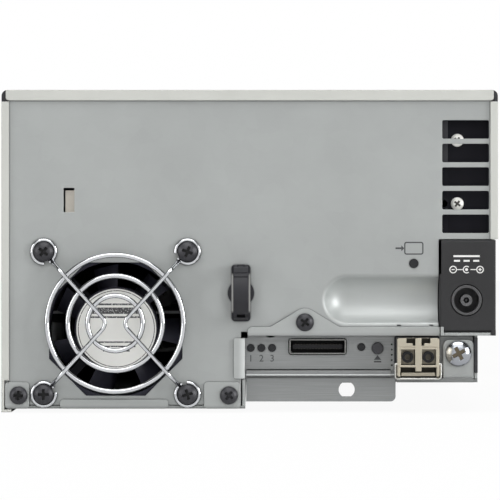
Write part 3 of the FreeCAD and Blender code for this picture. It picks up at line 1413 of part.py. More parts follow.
def upright(radius, z):
    """Cylinder on the spindle's axis through a (low, high) pair of heights."""
    return rod(radius, (0, spindle_y(), z[0]), (0, spindle_y(), z[1]))


def spindle_motor():
    """Fixed half of the spindle motor: base, bearing tube and wound core."""
    base = deck_top()
    top = base + SPINDLE_BASE_THICK
    core_top = rotor_bottom() + ROTOR_HEIGHT - ROTOR_WALL - SHEET
    disc = upright(SPINDLE_BASE, (base, top))
    core = upright(STATOR_RADIUS, (top, core_top))
    bore = upright(SPINDLE_SHAFT + RUNNING, (base + SHEET / 2, core_top + 1))
    return union(disc, core).cut(bore)


def rotor_bottom():
    """Height of the rotor's lower rim."""
    return deck_top() + SPINDLE_BASE_THICK + 2 * GAP


def turntable():
    """Rotor cup with the disc table, its centring cone and the shaft."""
    low = rotor_bottom()
    top = low + ROTOR_HEIGHT
    table_top = top + TABLE_THICK
    hollow = upright(ROTOR_RADIUS - ROTOR_WALL, (low - 1, top - ROTOR_WALL))
    cup = upright(ROTOR_RADIUS, (low, top)).cut(hollow)
    table = upright(TABLE_RADIUS, (top, table_top))
    cone = Part.makeCone(CONE_RADIUS, CONE_RADIUS - SHEET, CONE_HEIGHT, V(0, spindle_y(), table_top))
    shaft = upright(SPINDLE_SHAFT, (deck_top() + SHEET, top))
    return union(cup, table, cone, shaft)


def guide_rods():
    """Two steel rods that the pickup sled runs on."""
    y = (near_lug(), far_lug() + LUG_THICK)
    return [rod_y(ROD_RADIUS, x, rod_z(), y) for x in rod_places()]


def sled_y():
    """(low, high) of the pickup sled at its innermost place."""
    start = near_lug() + LUG_THICK + SLED_GAP
    return start, start + SLED_LENGTH


def pickup_sled():
    """Die-cast sled with rod bosses and a nut arm for the screw."""
    y = sled_y()
    top = deck_top() + SLED_GAP + SLED_HEIGHT
    body = rounded_block(about(0, SLED_WIDTH), y, (deck_top() + SLED_GAP, top), SLED_GAP, V(0, 0, 1))
    boss = 2 * ROD_RADIUS
    web = block(about(0, ROD_SPACING), y, about(rod_z(), 2 * ROD_RADIUS + SHEET))
    bosses = [rod_y(boss, x, rod_z(), y) for x in rod_places()]
    nut_y = (y[0], y[0] + NUT_LENGTH)
    nut = rod_y(boss, -SCREW_OFFSET, rod_z(), nut_y)
    arm = block((-SCREW_OFFSET, -ROD_SPACING / 2), nut_y, about(rod_z(), 2 * ROD_RADIUS + SHEET))
    bores = [rod_y(ROD_RADIUS + RUNNING, x, rod_z(), y) for x in list(rod_places()) + [-SCREW_OFFSET]]
    return union(body, web, nut, arm, *bosses).cut(bores)


def pickup_lens():
    """Objective lens on the sled, close to its spindle end."""
    top = deck_top() + SLED_GAP + SLED_HEIGHT
    y = sled_y()[0] + 2 * LENS_RADIUS
    return rod(LENS_RADIUS, (0, y, top), (0, y, top + LENS_HEIGHT))


def sled_motor_y():
    """(low, high) of the sled's motor."""
    end = far_lug() + LUG_THICK
    return end - SLED_MOTOR_LENGTH, end


def sled_screw():
    """Lead screw that moves the sled."""
    return rod_y(ROD_RADIUS, -SCREW_OFFSET, rod_z(), (near_lug(), sled_motor_y()[0] + LUG_THICK))


def sled_motor():
    """Small motor at the screw's front end."""
    y = sled_motor_y()
    can = rod_y(SLED_MOTOR_RADIUS, -SCREW_OFFSET, rod_z(), y)
    return can.cut(rod_y(ROD_RADIUS + RUNNING, -SCREW_OFFSET, rod_z(), (y[0] - 1, y[0] + LUG_THICK + GAP)))


def bay_half():
    """Half width of the space for the cartridge, which is 153 mm wide, and its room."""
    return HALF - BAY_SIDE


def slot_z():
    """(low, high) of the cartridge slot."""
    low = BAY_FLOOR_Z + SHEET
    return low, low + CARTRIDGE_THICK + 2 * CARTRIDGE_ROOM


def door_pivot():
    """Y and Z of the door's hinge, above the slot."""
    return front(DOOR_SETBACK), slot_z()[1] + DOOR_BARREL + GAP


def front_bezel():
    """Hollow moulded front with a flared cartridge slot and lugs for the door's pin."""
    y = (front(BEZEL_DEPTH), front(0))
    shell = rounded_block((-HALF, HALF), y, (0, CASE_HEIGHT), BEZEL_CORNER)
    rim = [edge for edge in shell.Edges if edge.BoundBox.YMin > y[1] - EPSILON]
    shell = shell.makeFillet(SLOT_FLARE, rim)
    inside = HALF - BEZEL_WALL
    hollow_z = (BEZEL_WALL, CASE_HEIGHT - BEZEL_WALL)
    shell = shell.cut(block((-inside, inside), (y[0] - 1, y[1] - BEZEL_WALL), hollow_z))
    slot = block((-bay_half(), bay_half()), (y[0], y[1] + 1), slot_z())
    shell = shell.cut(slot)
    mouth = [edge for edge in shell.Edges
             if edge.BoundBox.YMin > y[1] - EPSILON and abs(edge.CenterOfMass.x) < bay_half() + EPSILON
             and slot_z()[0] - EPSILON < edge.CenterOfMass.z < slot_z()[1] + EPSILON]
    shell = shell.makeChamfer(SLOT_FLARE, mouth)
    pivot_y, pivot_z = door_pivot()
    lug_y = (pivot_y - 2 * DOOR_BARREL, y[1] - BEZEL_WALL / 2)
    lugs = [block(x, lug_y, about(pivot_z, 2 * DOOR_BARREL + SHEET)) for x in pin_lugs()]
    hole = rod(DOOR_PIN + RUNNING, (-HALF, pivot_y, pivot_z), (HALF, pivot_y, pivot_z))
    hole = hole.common(block((-inside, inside), y, (0, FAR)))
    return union(shell, *lugs).cut(hole)


def pin_lugs():
    """X ranges of the two lugs that hold the door's pin."""
    return (-bay_half() - 2 * SHEET, -bay_half()), (bay_half(), bay_half() + 2 * SHEET)


def cartridge_door():
    """Flap behind the slot that swings in and up as a cartridge goes in."""
    half = bay_half() - GAP
    y, z = door_pivot()
    barrel = rod(DOOR_BARREL, (-half, y, z), (half, y, z))
    plate = block((-half, half), about(y, DOOR_THICK), (slot_z()[0] + GAP, z))
    return union(barrel, plate).cut(rod(DOOR_PIN + RUNNING, (-HALF, y, z), (HALF, y, z)))


def door_pin():
    """Steel pin across the bezel for the door."""
    y, z = door_pivot()
    half = bay_half() + 2 * SHEET
    return rod(DOOR_PIN, (-half, y, z), (half, y, z))


def bay_y():
    """(low, high) of the cartridge holder along the drive."""
    end = front(BEZEL_DEPTH + 2 * BEZEL_WALL)
    return end - BAY_LENGTH, end


def cartridge_holder():
    """Channel that guides the cartridge, hung from the pan's walls by its flanges."""
    outer = bay_half() + SHEET
    top = BAY_FLOOR_Z + BAY_WALL_HEIGHT
    path = [(-PANEL_EDGE, top), (-outer, top), (-outer, BAY_FLOOR_Z), (outer, BAY_FLOOR_Z), (outer, top),
            (PANEL_EDGE, top)]
    channel = bent_sheet(path, bay_y())
    return channel.cut(hook_slot((BAY_FLOOR_Z, BAY_FLOOR_Z + SHEET)))


def carriage_y():
    """(low, high) of the loader carriage at its rear end."""
    start = bay_y()[0] + LOADER_BACK + LOADER_PLATE + CARTRIDGE_ROOM
    return start, start + CARRIAGE_LENGTH


def hook_slot(z):
    """Slot that the carriage's hook travels along."""
    y = sum(carriage_y()) / 2
    room = 2 * HOOK_RADIUS
    return block((-room, room), (y - room, y + LOADER_TRAVEL + room), z)


def loader_z():
    """Height of the loader's screw and rod."""
    return BAY_FLOOR_Z - LOADER_DROP


def loader_end():
    """Y of the loader frame's front face, past the carriage's travel."""
    return carriage_y()[1] + LOADER_TRAVEL + CARTRIDGE_ROOM + LOADER_PLATE


def loader_x():
    """(low, high) of the loader frame and carriage across the drive."""
    room = 2 * LOADER_SCREW + LOADER_PLATE
    return -room, LOADER_ROD_OFFSET + room


def loader_frame():
    """Bent plate under the bay with ends that hold the loader's screw and rod."""
    y = (loader_start(), loader_end())
    top = BAY_FLOOR_Z - GAP
    z = (top - LOADER_PLATE, top)
    roof = block(loader_x(), y, z)
    end_z = (loader_z() - 2 * LOADER_SCREW, top)
    ends = [block(loader_x(), (start, start + LOADER_PLATE), end_z) for start in (y[0], y[1] - LOADER_PLATE)]
    bores = [rod_y(LOADER_SCREW + RUNNING, x, loader_z(), y) for x in (0, LOADER_ROD_OFFSET)]
    return union(roof, *ends).cut(bores + [hook_slot(z)])


def loader_carriage():
    """Block on the loader's screw and rod with a hook that reaches up into the bay."""
    y = carriage_y()
    low = loader_z() - 2 * LOADER_SCREW
    x = (loader_x()[0] + SHEET, loader_x()[1] - SHEET)
    body = rounded_block(x, y, (low, low + CARRIAGE_HEIGHT), SHEET)
    middle = sum(y) / 2
    hook = rod(HOOK_RADIUS, (0, middle, loader_z()), (0, middle, BAY_FLOOR_Z + SHEET + HOOK_HEIGHT))
    bores = [rod_y(LOADER_SCREW + RUNNING, place, loader_z(), y) for place in (0, LOADER_ROD_OFFSET)]
    return union(body, hook).cut(bores)


def loader_screw():
    """Lead screw that drives the carriage."""
    return rod_y(LOADER_SCREW, 0, loader_z(), (loader_start(), loader_end() + GAP + LOADER_PLATE))


def loader_start():
    """Y of the loader frame's rear face."""
    return carriage_y()[0] - CARTRIDGE_ROOM - LOADER_PLATE


def loader_rod():
    """Plain rod beside the screw that keeps the carriage level."""
    return rod_y(LOADER_SCREW, LOADER_ROD_OFFSET, loader_z(), (loader_start(), loader_end()))


def loader_motor():
    """Motor at the front end of the loader's screw."""
    start = loader_end() + GAP
    can = rod_y(LOADER_MOTOR_RADIUS, 0, loader_z(), (start, start + LOADER_MOTOR_LENGTH))
    return can.cut(rod_y(LOADER_SCREW + RUNNING, 0, loader_z(), (start - 1, start + LOADER_PLATE + GAP)))


def main_board_width():
    """Width of the main board between the pan's walls."""
    return CASE_WIDTH - 2 * MAIN_BOARD_SIDE


def main_board_middle():
    """Y of the main board's middle, in the deep front part of the pan."""
    return (back(REAR_LENGTH) + front(BEZEL_DEPTH)) / 2


def main_board_top():
    """Height of the main board's upper face."""
    return FLOOR_TOP + MAIN_BOARD_LIFT + BOARD_THICK


def main_board():
    """Main board on the pan's standoffs."""
    z = (main_board_top() - BOARD_THICK, main_board_top())
    return block(about(0, main_board_width()), about(main_board_middle(), MAIN_BOARD_LENGTH), z)


def heat_sink():
    """Finned cooler on the main board."""
    z = main_board_top()
    y = about(main_board_middle(), SINK_SIZE)
    base = block(about(0, SINK_SIZE), y, (z, z + SINK_BASE))
    pitch = (SINK_SIZE - SINK_FIN) / (SINK_FINS - 1)
    fins = [block(about(pitch * (index - (SINK_FINS - 1) / 2), SINK_FIN), y, (z, z + SINK_HEIGHT))
            for index in range(SINK_FINS)]
    return union(base, *fins)


NODES = (
    top_cover, bottom_pan, rear_panel, lock_plate, control_bracket, bracket_ear, ear_screw, bracket_screw,
    case_screws, fan_holder, fan_frame, fan_impeller, fan_label, fan_stator, fan_guard, fan_guard_screws,
    dc_inlet_housing, dc_jack, cord_clamp_base, cord_clamp_strap, cartridge_led_lens, status_led_lenses,
    eject_button, eject_switch, control_connector_shell, control_connector_insert, panel_board,
    interface_board, sfp_cage, sfp_body, sfp_port_sleeves, sfp_bail, vent_baffle, baffle_screws, deck_plate,
    deck_dampers, spindle_motor, turntable, guide_rods, pickup_sled, pickup_lens, sled_screw, sled_motor,
    front_bezel, cartridge_door, door_pin, cartridge_holder, loader_frame, loader_carriage, loader_screw,
    loader_rod, loader_motor, main_board, heat_sink)


def main():
    """Write one file for each node."""
    os.makedirs("parts", exist_ok=True)
    for make in NODES:
        shape = make()
        if isinstance(shape, list):
            shape = Part.makeCompound(shape)
        shape.exportStep(os.path.join("parts", make.__name__ + ".step"))


main()
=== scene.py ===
"""Looks of the optical disc archive drive, laid over its packed frame and in the frame's axes.

Lengths are in millimetres, apart from those of the studio, which are in metres.
"""

import json
import logging
import math
from dataclasses import dataclass
from enum import Enum
from functools import cached_property

import bmesh
import bpy
from mathutils import Matrix, Vector


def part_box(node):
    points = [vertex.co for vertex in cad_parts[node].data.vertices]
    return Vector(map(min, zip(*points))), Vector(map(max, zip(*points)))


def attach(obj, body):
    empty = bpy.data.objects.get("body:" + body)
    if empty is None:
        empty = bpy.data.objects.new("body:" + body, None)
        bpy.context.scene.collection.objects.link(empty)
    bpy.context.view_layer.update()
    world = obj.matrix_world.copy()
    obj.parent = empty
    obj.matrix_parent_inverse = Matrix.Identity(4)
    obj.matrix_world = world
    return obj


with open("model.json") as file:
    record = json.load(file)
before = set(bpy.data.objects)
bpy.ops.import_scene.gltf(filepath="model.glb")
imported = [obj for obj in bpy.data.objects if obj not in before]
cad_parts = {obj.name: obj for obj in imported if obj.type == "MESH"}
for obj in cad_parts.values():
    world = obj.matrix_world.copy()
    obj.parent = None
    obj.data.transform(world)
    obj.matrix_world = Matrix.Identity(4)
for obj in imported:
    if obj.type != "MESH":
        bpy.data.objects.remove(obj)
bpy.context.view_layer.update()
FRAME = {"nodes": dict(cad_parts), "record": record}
LOG = logging.getLogger("archive_drive")
MM = 0.001
LENS_LIFT = 0.3
CORNER_POINTS = 6
RECESS_SPAN = 1.1
RECESS_ARM = 0.3
HEAD_DIGITS = 4
ROLLED = (30.0, 1.0, 1.0)
EVEN = (1.0, 1.0, 1.0)
Colour = tuple[float, float, float]
Point = tuple[float, float, float]
Outline = list[tuple[float, float]]


def shade(red: int, green: int, blue: int) -> Colour:
    """Linear colour of a display colour.

    Args:
        red: Red from 0 to 255.
        green: Green from 0 to 255.
        blue: Blue from 0 to 255.

    Returns:
        The colour that the shader takes.
    """
    shares = [value / 255 for value in (red, green, blue)]
    linear = [share / 12.92 if share < 0.04045 else ((share + 0.055) / 1.055) ** 2.4 for share in shares]
    return linear[0], linear[1], linear[2]


def scaled(values: Colour | Point, factor: float) -> Colour | Point:
    """A lighter or darker colour, or a point farther out or in."""
    return values[0] * factor, values[1] * factor, values[2] * factor


def extent(node: str) -> tuple[Vector, Vector]:
    """Lower and upper corner of a CAD node's box."""
    low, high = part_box(node)
    return low / MM, high / MM


def middle(node: str) -> Vector:
    """Centre of a CAD node's box."""
    low, high = extent(node)
    return (low + high) / 2


def control_face() -> float:
    """Level of the face that the status lenses stand out of."""
    return extent("status_led_lenses")[0].y + LENS_LIFT


class Term:
    """A node's output that Python's operators combine through Math nodes."""

    def __init__(self, graph: "Graph", socket: bpy.types.NodeSocket) -> None:
        """Keep the graph and the socket."""
        self.graph = graph
        self.socket = socket

    def _math(self, operation: str, *operands: "Term | float") -> "Term":
        """Result of a Math node on operands in the order of its sockets."""
        return self.graph.node("ShaderNodeMath", {"operation": operation}, dict(enumerate(operands)))

    def __add__(self, other: "Term | float") -> "Term":
        """Sum."""
        return self._math("ADD", self, other)

    def __radd__(self, other: float) -> "Term":
        """Sum with the number first."""
        return self._math("ADD", other, self)

    def __sub__(self, other: "Term | float") -> "Term":
        """Difference."""
        return self._math("SUBTRACT", self, other)

    def __rsub__(self, other: float) -> "Term":
        """Difference with the number first."""
        return self._math("SUBTRACT", other, self)

    def __mul__(self, other: "Term | float") -> "Term":
        """Product."""
        return self._math("MULTIPLY", self, other)

    def __rmul__(self, other: float) -> "Term":
        """Product with the number first."""
        return self._math("MULTIPLY", other, self)

    def __truediv__(self, other: "Term | float") -> "Term":
        """Quotient."""
        return self._math("DIVIDE", self, other)

    def __rtruediv__(self, other: float) -> "Term":
        """Quotient with the number first."""
        return self._math("DIVIDE", other, self)

    def __pow__(self, other: float) -> "Term":
        """Power."""
        return self._math("POWER", self, other)

    def __abs__(self) -> "Term":
        """Distance from nought."""
        return self._math("ABSOLUTE", self)

    def sine(self) -> "Term":
        """Sine of an angle in radians."""
        return self._math("SINE", self)

    def angle_to(self, other: "Term") -> "Term":
        """Angle of the point (other, self) about the origin."""
        return self._math("ARCTAN2", self, other)

    def least(self, other: "Term | float") -> "Term":
        """The smaller of two."""
        return self._math("MINIMUM", self, other)

    def most(self, other: "Term | float") -> "Term":
        """The larger of two."""
        return self._math("MAXIMUM", self, other)

    def ramp(self, low: float, high: float) -> "Term":
        """Smooth step from 0 at the low value to 1 at the high one."""
        inputs = {"Value": self, "From Min": low, "From Max": high}
        return self.graph.node("ShaderNodeMapRange", {"interpolation_type": "SMOOTHSTEP"}, inputs)

    def within(self, reach: float, blur: float) -> "Term":
        """Mask of where the distance from nought is under a reach, with an edge as wide as the blur."""
        return ((reach - abs(self)) / blur + 0.5).least(1.0).most(0.0)

    def sibling(self, output: int) -> "Term":
        """Another output of the same node."""
        return Term(self.graph, self.socket.node.outputs[output])


Mark = tuple[Term, Term | Colour]


class Graph:
    """The node tree of a material or of the world, with one way to add a node."""

    MIX_INPUTS = (0, 6, 7)
    MIX_RESULT = 2
    EDGE_SAMPLES = 6
    EDGE_RISE = (0.02, 0.25)
    CORNER_SAMPLES = 8
    CORNER_RISE = (0.1, 0.6)

    def __init__(self, owner: bpy.types.Material | bpy.types.World) -> None:
        """Empty the owner's tree.

        Args:
            owner: Material or world.
        """
        owner.use_nodes = True
        self.owner = owner
        self.tree = owner.node_tree
        self.tree.nodes.clear()

    def node(self, kind: str, settings: dict | None = None, inputs: dict | None = None,
             output: int | str = 0) -> Term:
        """Add a node.

        Args:
            kind: Blender's type of the node.
            settings: Properties, set first.
            inputs: Values or terms by socket name or number. A colour has three values.
            output: Which output the term stands for.

        Returns:
            That output.
        """
        made = self.tree.nodes.new(kind)
        for name, value in (settings or {}).items():
            setattr(made, name, value)
        for key, value in (inputs or {}).items():
            socket = made.inputs[key]
            if isinstance(value, Term):
                self.tree.links.new(value.socket, socket)
            else:
                socket.default_value = (*value, 1.0) if socket.type == "RGBA" else value
        return Term(self, made.outputs[output] if made.outputs else None)

    def mix(self, factor: Term | float, first: Term | Colour, second: Term | Colour) -> Term:
        """Blend of two colours, where factor 0 gives the first and 1 the second."""
        inputs = dict(zip(self.MIX_INPUTS, (factor, first, second)))
        return self.node("ShaderNodeMix", {"data_type": "RGBA"}, inputs, self.MIX_RESULT)

    @cached_property
    def place(self) -> Term:
        """Point on the piece in the frame's axes, in metres."""
        return self.node("ShaderNodeTexCoord", output="Object")

    @cached_property
    def normal(self) -> Term:
        """Normal of the surface."""
        return self.node("ShaderNodeNewGeometry", output="Normal")

    def axes(self, centre: Vector | Point = (0.0, 0.0, 0.0)) -> tuple[Term, Term, Term]:
        """Distances along the three axes from a point.

        Args:
            centre: The point.

        Returns:
            Terms for x, y and z.
        """
        inputs = {0: self.place, 1: scaled(EVEN, 1 / MM), 2: scaled(tuple(centre), -1.0)}
        moved = self.node("ShaderNodeVectorMath", {"operation": "MULTIPLY_ADD"}, inputs)
        across = self.node("ShaderNodeSeparateXYZ", inputs={0: moved})
        return across, across.sibling(1), across.sibling(2)

    def rays(self, *kinds: str) -> Term:
        """Mask of some kinds of ray.

        Args:
            kinds: Names of the Light Path node's outputs.

        Returns:
            1 for those rays and 0 for others.
        """
        mask = self.node("ShaderNodeLightPath", output=kinds[0])
        for kind in kinds[1:]:
            mask = mask.most(self.node("ShaderNodeLightPath", output=kind))
        return mask

    def noise(self, size: float, stretch: Point = EVEN, detail: float = 3.0) -> Term:
        """Cloudy noise.

        Args:
            size: Width of a spot.
            stretch: How much longer a spot is along each axis.
            detail: Octaves of finer spots.

        Returns:
            Values about 0.5.
        """
        scale = tuple(1 / (size * MM * factor) for factor in stretch)
        vector = self.node("ShaderNodeVectorMath", {"operation": "MULTIPLY"}, {0: self.place, 1: scale})
        return self.node("ShaderNodeTexNoise", inputs={"Vector": vector, "Scale": 1.0, "Detail": detail})

    def soft_edge(self, radius: float) -> Term:
        """Normal that rounds the edges by a radius."""
        return self.node("ShaderNodeBevel", {"samples": self.EDGE_SAMPLES}, {"Radius": radius * MM})

    def edge(self, radius: float) -> Term:
        """Mask of the edges.

        Args:
            radius: Radius that rounds them.

        Returns:
            1 on their ridge and 0 away from it.
        """
        inputs = {0: self.soft_edge(radius), 1: self.normal}
        likeness = self.node("ShaderNodeVectorMath", {"operation": "DOT_PRODUCT"}, inputs, "Value")
        return (1.0 - likeness).ramp(*self.EDGE_RISE)

    def corner(self, reach: float) -> Term:
        """Mask of the inner corners.

        Args:
            reach: How far off the other surface may be.

        Returns:
            1 in the closest corners and 0 in the open.
        """
        settings = {"samples": self.CORNER_SAMPLES}
        outlook = self.node("ShaderNodeAmbientOcclusion", settings, {"Distance": reach * MM}, "AO")
        return (1.0 - outlook).ramp(*self.CORNER_RISE)

    def bump(self, height: Term, depth: float, normal: Term) -> Term:
        """Normal of a relief from 0 to 1 of some depth, over another normal."""
        inputs = {"Strength": 1.0, "Distance": depth * MM, "Height": height, "Normal": normal}
        return self.node("ShaderNodeBump", inputs=inputs)

    def close(self, inputs: dict) -> bpy.types.Material:
        """Join the shader to the output.

        Args:
            inputs: Values or terms of the shader's sockets.

        Returns:
            The finished material.
        """
        shader = self.node("ShaderNodeBsdfPrincipled", inputs=inputs)
        self.node("ShaderNodeOutputMaterial", inputs={"Surface": shader})
        return self.owner


@dataclass(frozen=True)
class Finish:
    """A moulded or coated surface with fine grain, faint clouds and softened edges.

    The fields are the colour, the roughness, the metal share, the radius of the softened edges, the
    grain's width, stretch and depth, the share by which clouds of a size darken and lighten, the
    lightness of the painted highlight on the edges, the lacquer's share, the strength of the plain
    reflection, and the reach and share of the painted shade in corners.
    """

    name: str
    colour: Colour
    roughness: float = 0.5
    metallic: float = 0.0
    edge: float = 0.2
    grain: float = 0.3
    stretch: Point = EVEN
    depth: float = 0.01
    clouds: float = 0.06
    cloud_size: float = 18.0
    rim: float = 1.15
    coat: float = 0.0
    specular: float = 0.5
    corner_shade_reach: float = 0.9
    corner_shade: float = 0.0

    CLOUD_RISE = (0.3, 0.7)
    CORNER_SHADE_TONE = 0.15
    SMUDGE_SIZE = 0.6
    GRAIN_GLOSS = 0.16
    SMUDGE_GLOSS = 0.12

    def toned(self, factor: float) -> Colour:
        """The colour, lighter or darker."""
        return scaled(self.colour, factor)

    def marks(self, graph: Graph) -> list[Mark]:
        """Masks to lay over the colour in turn, each with its own colour."""
        return []

    def tint(self, graph: Graph) -> Term:
        """Colour with its clouds, a painted highlight on the edges, painted shade in the corners, and marks.

        Args:
            graph: Tree of the material.

        Returns:
            The colour.
        """
        cloud = graph.noise(self.cloud_size, detail=4.0).ramp(*self.CLOUD_RISE)
        colour = graph.mix(cloud, self.toned(1 - self.clouds), self.toned(1 + self.clouds))
        # Painted highlight: the edges are lightened by the rim factor.
        colour = graph.mix(graph.edge(self.edge), colour, self.toned(self.rim))
        # Painted shade: the inner corners that the occlusion finds are darkened.
        if self.corner_shade:
            corner_shade = graph.corner(self.corner_shade_reach) * self.corner_shade
            colour = graph.mix(corner_shade, colour, self.toned(self.CORNER_SHADE_TONE))
        for mask, tone in self.marks(graph):
            colour = graph.mix(mask, colour, tone)
        return colour

    def relief(self, graph: Graph) -> Term:
        """Height of the grain."""
        return graph.noise(self.grain, self.stretch)

    def gloss(self, graph: Graph, relief: Term) -> Term:
        """Roughness that follows the grain and faint smudges."""
        smudge = graph.noise(self.cloud_size * self.SMUDGE_SIZE, detail=5.0)
        return self.roughness + (relief - 0.5) * self.GRAIN_GLOSS + (smudge - 0.5) * self.SMUDGE_GLOSS

    def make(self) -> bpy.types.Material:
        """Build the material.

        Returns:
            A material that only its own finish uses.
        """
        graph = Graph(bpy.data.materials.new(self.name))
        relief = self.relief(graph)
        return graph.close({
            "Base Color": self.tint(graph), "Roughness": self.gloss(graph, relief),
            "Metallic": self.metallic, "Coat Weight": self.coat, "Specular IOR Level": self.specular,
            "Normal": graph.bump(relief, self.depth, graph.soft_edge(self.edge))})


@dataclass(frozen=True)
class RolledSheet(Finish):
    """Plated steel sheet with rolling lines, darker spangles and the traces of handling.

    The fields add the width of a spangle and the share by which it shows.
    """

    spangle: float = 5.0
    contrast: float = 0.05

    SPANGLE_TONE = 0.55
    LINE = (0.25, (60.0, 1.0, 1.0), 2.0)
    LINE_GLOSS = 0.1

    def marks(self, graph: Graph) -> list[Mark]:
        """Dull spangles.

        Args:
            graph: Tree of the material.

        Returns:
            Their mask and colour.
        """
        inputs = {"Vector": graph.place, "Scale": 1 / (self.spangle * MM)}
        flakes = graph.node("ShaderNodeTexVoronoi", inputs=inputs, output="Color")
        split = graph.node("ShaderNodeSeparateColor", inputs={0: flakes})
        return [(split * self.contrast, self.toned(self.SPANGLE_TONE))]

    def gloss(self, graph: Graph, relief: Term) -> Term:
        """Roughness that follows the rolling lines."""
        lines = graph.noise(*self.LINE)
        return super().gloss(graph, relief) + (lines - 0.5) * self.LINE_GLOSS


@dataclass(frozen=True)
class PressedPanel(RolledSheet):
    """Plated sheet whose pressed-in recess is painted lighter, a painted light over the shade there.

    The fields add the depths between which the painted light starts and is full, and how much lighter it
    makes the sheet.
    """

    start: float = -182.95
    full: float = -182.4
    recess_light: float = 1.26

    def marks(self, graph: Graph) -> list[Mark]:
        """Spangles, and the painted light by depth."""
        # Painted light: the pressed-in recess is lightened by depth.
        pressed = graph.axes()[1].ramp(self.start, self.full)
        return [*super().marks(graph), (pressed, self.toned(self.recess_light))]


@dataclass(frozen=True)
class FootedSheet(RolledSheet):
    """Plated sheet with painted shade along its lowest bend and along the edge of its raised floor.

    The fields add the two heights between which the painted shade fades into the sheet's colour, the
    height and the thickness of the raised floor, the two places across the drive between which that
    floor starts, the share of the colour that is left, and the floor's blur.
    """

    foot: tuple[float, float] = (1.0, 2.6)
    floor: float = 10.9
    thick: float = 1.6
    start: tuple[float, float] = (30.0, 31.0)
    share: float = 0.55
    blur: float = 0.2

    def marks(self, graph: Graph) -> list[Mark]:
        """Spangles, and the painted shade by height.

        Args:
            graph: Tree of the material.

        Returns:
            Their masks and colours.
        """
        across, _, up = graph.axes()
        # Painted shade: darker along the lowest bend and along the raised floor's edge.
        raised = (up - self.floor).within(self.thick / 2, self.blur) * across.ramp(*self.start)
        painted_shade = (1.0 - up.ramp(*self.foot)).most(raised)
        return [*super().marks(graph), (painted_shade, self.toned(self.share))]


@dataclass(frozen=True)
class DarkFlankWire(Finish):
    """Bright wire whose flanks that do not face backwards are painted dark, a painted reflection.

    The fields add the share of the colour that is left on a flank, and how far a surface faces backwards
    where the painted darkening is full and where it ends.
    """

    share: float = 0.2
    facing: tuple[float, float] = (0.15, 0.85)

    def marks(self, graph: Graph) -> list[Mark]:
        """Painted dark reflection by the way that the surface faces."""
        backwards = 0.0 - graph.node("ShaderNodeSeparateXYZ", inputs={0: graph.normal}, output=1)
        # Painted reflection: flanks that turn away from the rear are darkened.
        return [(1.0 - backwards.ramp(*self.facing), self.toned(self.share))]


@dataclass(frozen=True)
class PaleBore(Finish):
    """Moulding whose bore is painted paler than its face, a painted light over the bore's shade.

    The fields add the bore's colour and the depths at which it starts and is full.
    """

    bore: Colour = (0.3, 0.3, 0.3)
    start: float = 0.0
    full: float = 1.0

    def marks(self, graph: Graph) -> list[Mark]:
        """The bore's painted light by depth."""
        # Painted light: the bore is lightened by depth.
        return [(graph.axes()[1].ramp(self.start, self.full), self.bore)]


@dataclass(frozen=True)
class BracketSteel(RolledSheet):
    """Plated sheet whose recessed face has brush lines and is painted darker than its flange, a painted
    shade.

    The fields add the face's colour, with its painted shade, the two depths between which one passes into
    the other, where across the drive the painted highlight on the bend beside the face starts, is brightest
    and ends, the heights between which the flange's foot takes painted shade, and the heights and the share
    of the face's colour of the painted bands on the ledge, a highlight line between bands of shade.
    """

    shaded_brushed: Colour = (0.2, 0.2, 0.2)
    recess: tuple[float, float] = (-182.9, -181.6)
    bend: tuple[float, float, float] = (-4.2, -2.0, -1.5)
    foot: tuple[float, float] = (26.0, 27.6)
    bands: tuple[tuple[float, float, float], ...] = (
        (13.0, 14.3, 0.92), (12.5, 12.9, 2.6), (11.4, 12.3, 0.7))

    BRUSH = (0.2, (90.0, 1.0, 1.0), 2.0)
    BRUSH_RISE = (0.25, 0.75)
    BRUSH_TONES = (0.9, 1.1)
    RIDGE_TONE = 2.0
    BEND_HIGHLIGHT_TONE = 1.5
    BEND_HIGHLIGHT_END = 0.1
    FOOT_SHARE = 0.6
    FLANGE_RISE = 0.3
    BAND_BLUR = 0.15

    def face(self, graph: Graph) -> Term:
        """Colour of the recessed face, in painted shade.

        Args:
            graph: Tree of the material.

        Returns:
            Brush lines with a painted highlight on the edges and painted shade in the corners.
        """
        lines = graph.noise(*self.BRUSH).ramp(*self.BRUSH_RISE)
        shaded_brushed = graph.mix(lines, *(scaled(self.shaded_brushed, tone) for tone in self.BRUSH_TONES))
        # Painted highlight on the face's edges.
        edged = graph.mix(graph.edge(self.edge), shaded_brushed, scaled(self.shaded_brushed, self.RIDGE_TONE))
        # Painted shade in the face's corners.
        corner_shade = graph.corner(self.corner_shade_reach) * self.corner_shade
        return graph.mix(corner_shade, edged, scaled(self.shaded_brushed, self.CORNER_SHADE_TONE))

    def marks(self, graph: Graph) -> list[Mark]:
        """Spangles, the painted highlight on the bend, the painted shade on the foot, the recessed face and
        the painted bands.

        Args:
            graph: Tree of the material.

        Returns:
            Their masks and colours.
        """
        across, depth, up = graph.axes()
        start, bright, end = self.bend
        # Painted highlight along the bend beside the face.
        bend_highlight = across.ramp(start, bright) * (end - across).ramp(0.0, self.BEND_HIGHLIGHT_END)
        right = across.ramp(end, end + self.FLANGE_RISE)
        # Painted shade on the flange's foot.
        painted_shade = (1.0 - up.ramp(*self.foot)) * right * self.FOOT_SHARE
        marks = [*super().marks(graph), (bend_highlight, self.toned(self.BEND_HIGHLIGHT_TONE)), (painted_shade, self.shaded_brushed),
                 (depth.ramp(*self.recess), self.face(graph))]
        # Painted bands on the ledge: a highlight line between bands of shade.
        for low, high, share in self.bands:
            band = (up - (low + high) / 2).within((high - low) / 2, self.BAND_BLUR)
            marks.append((band * right, scaled(self.shaded_brushed, share)))
        return marks


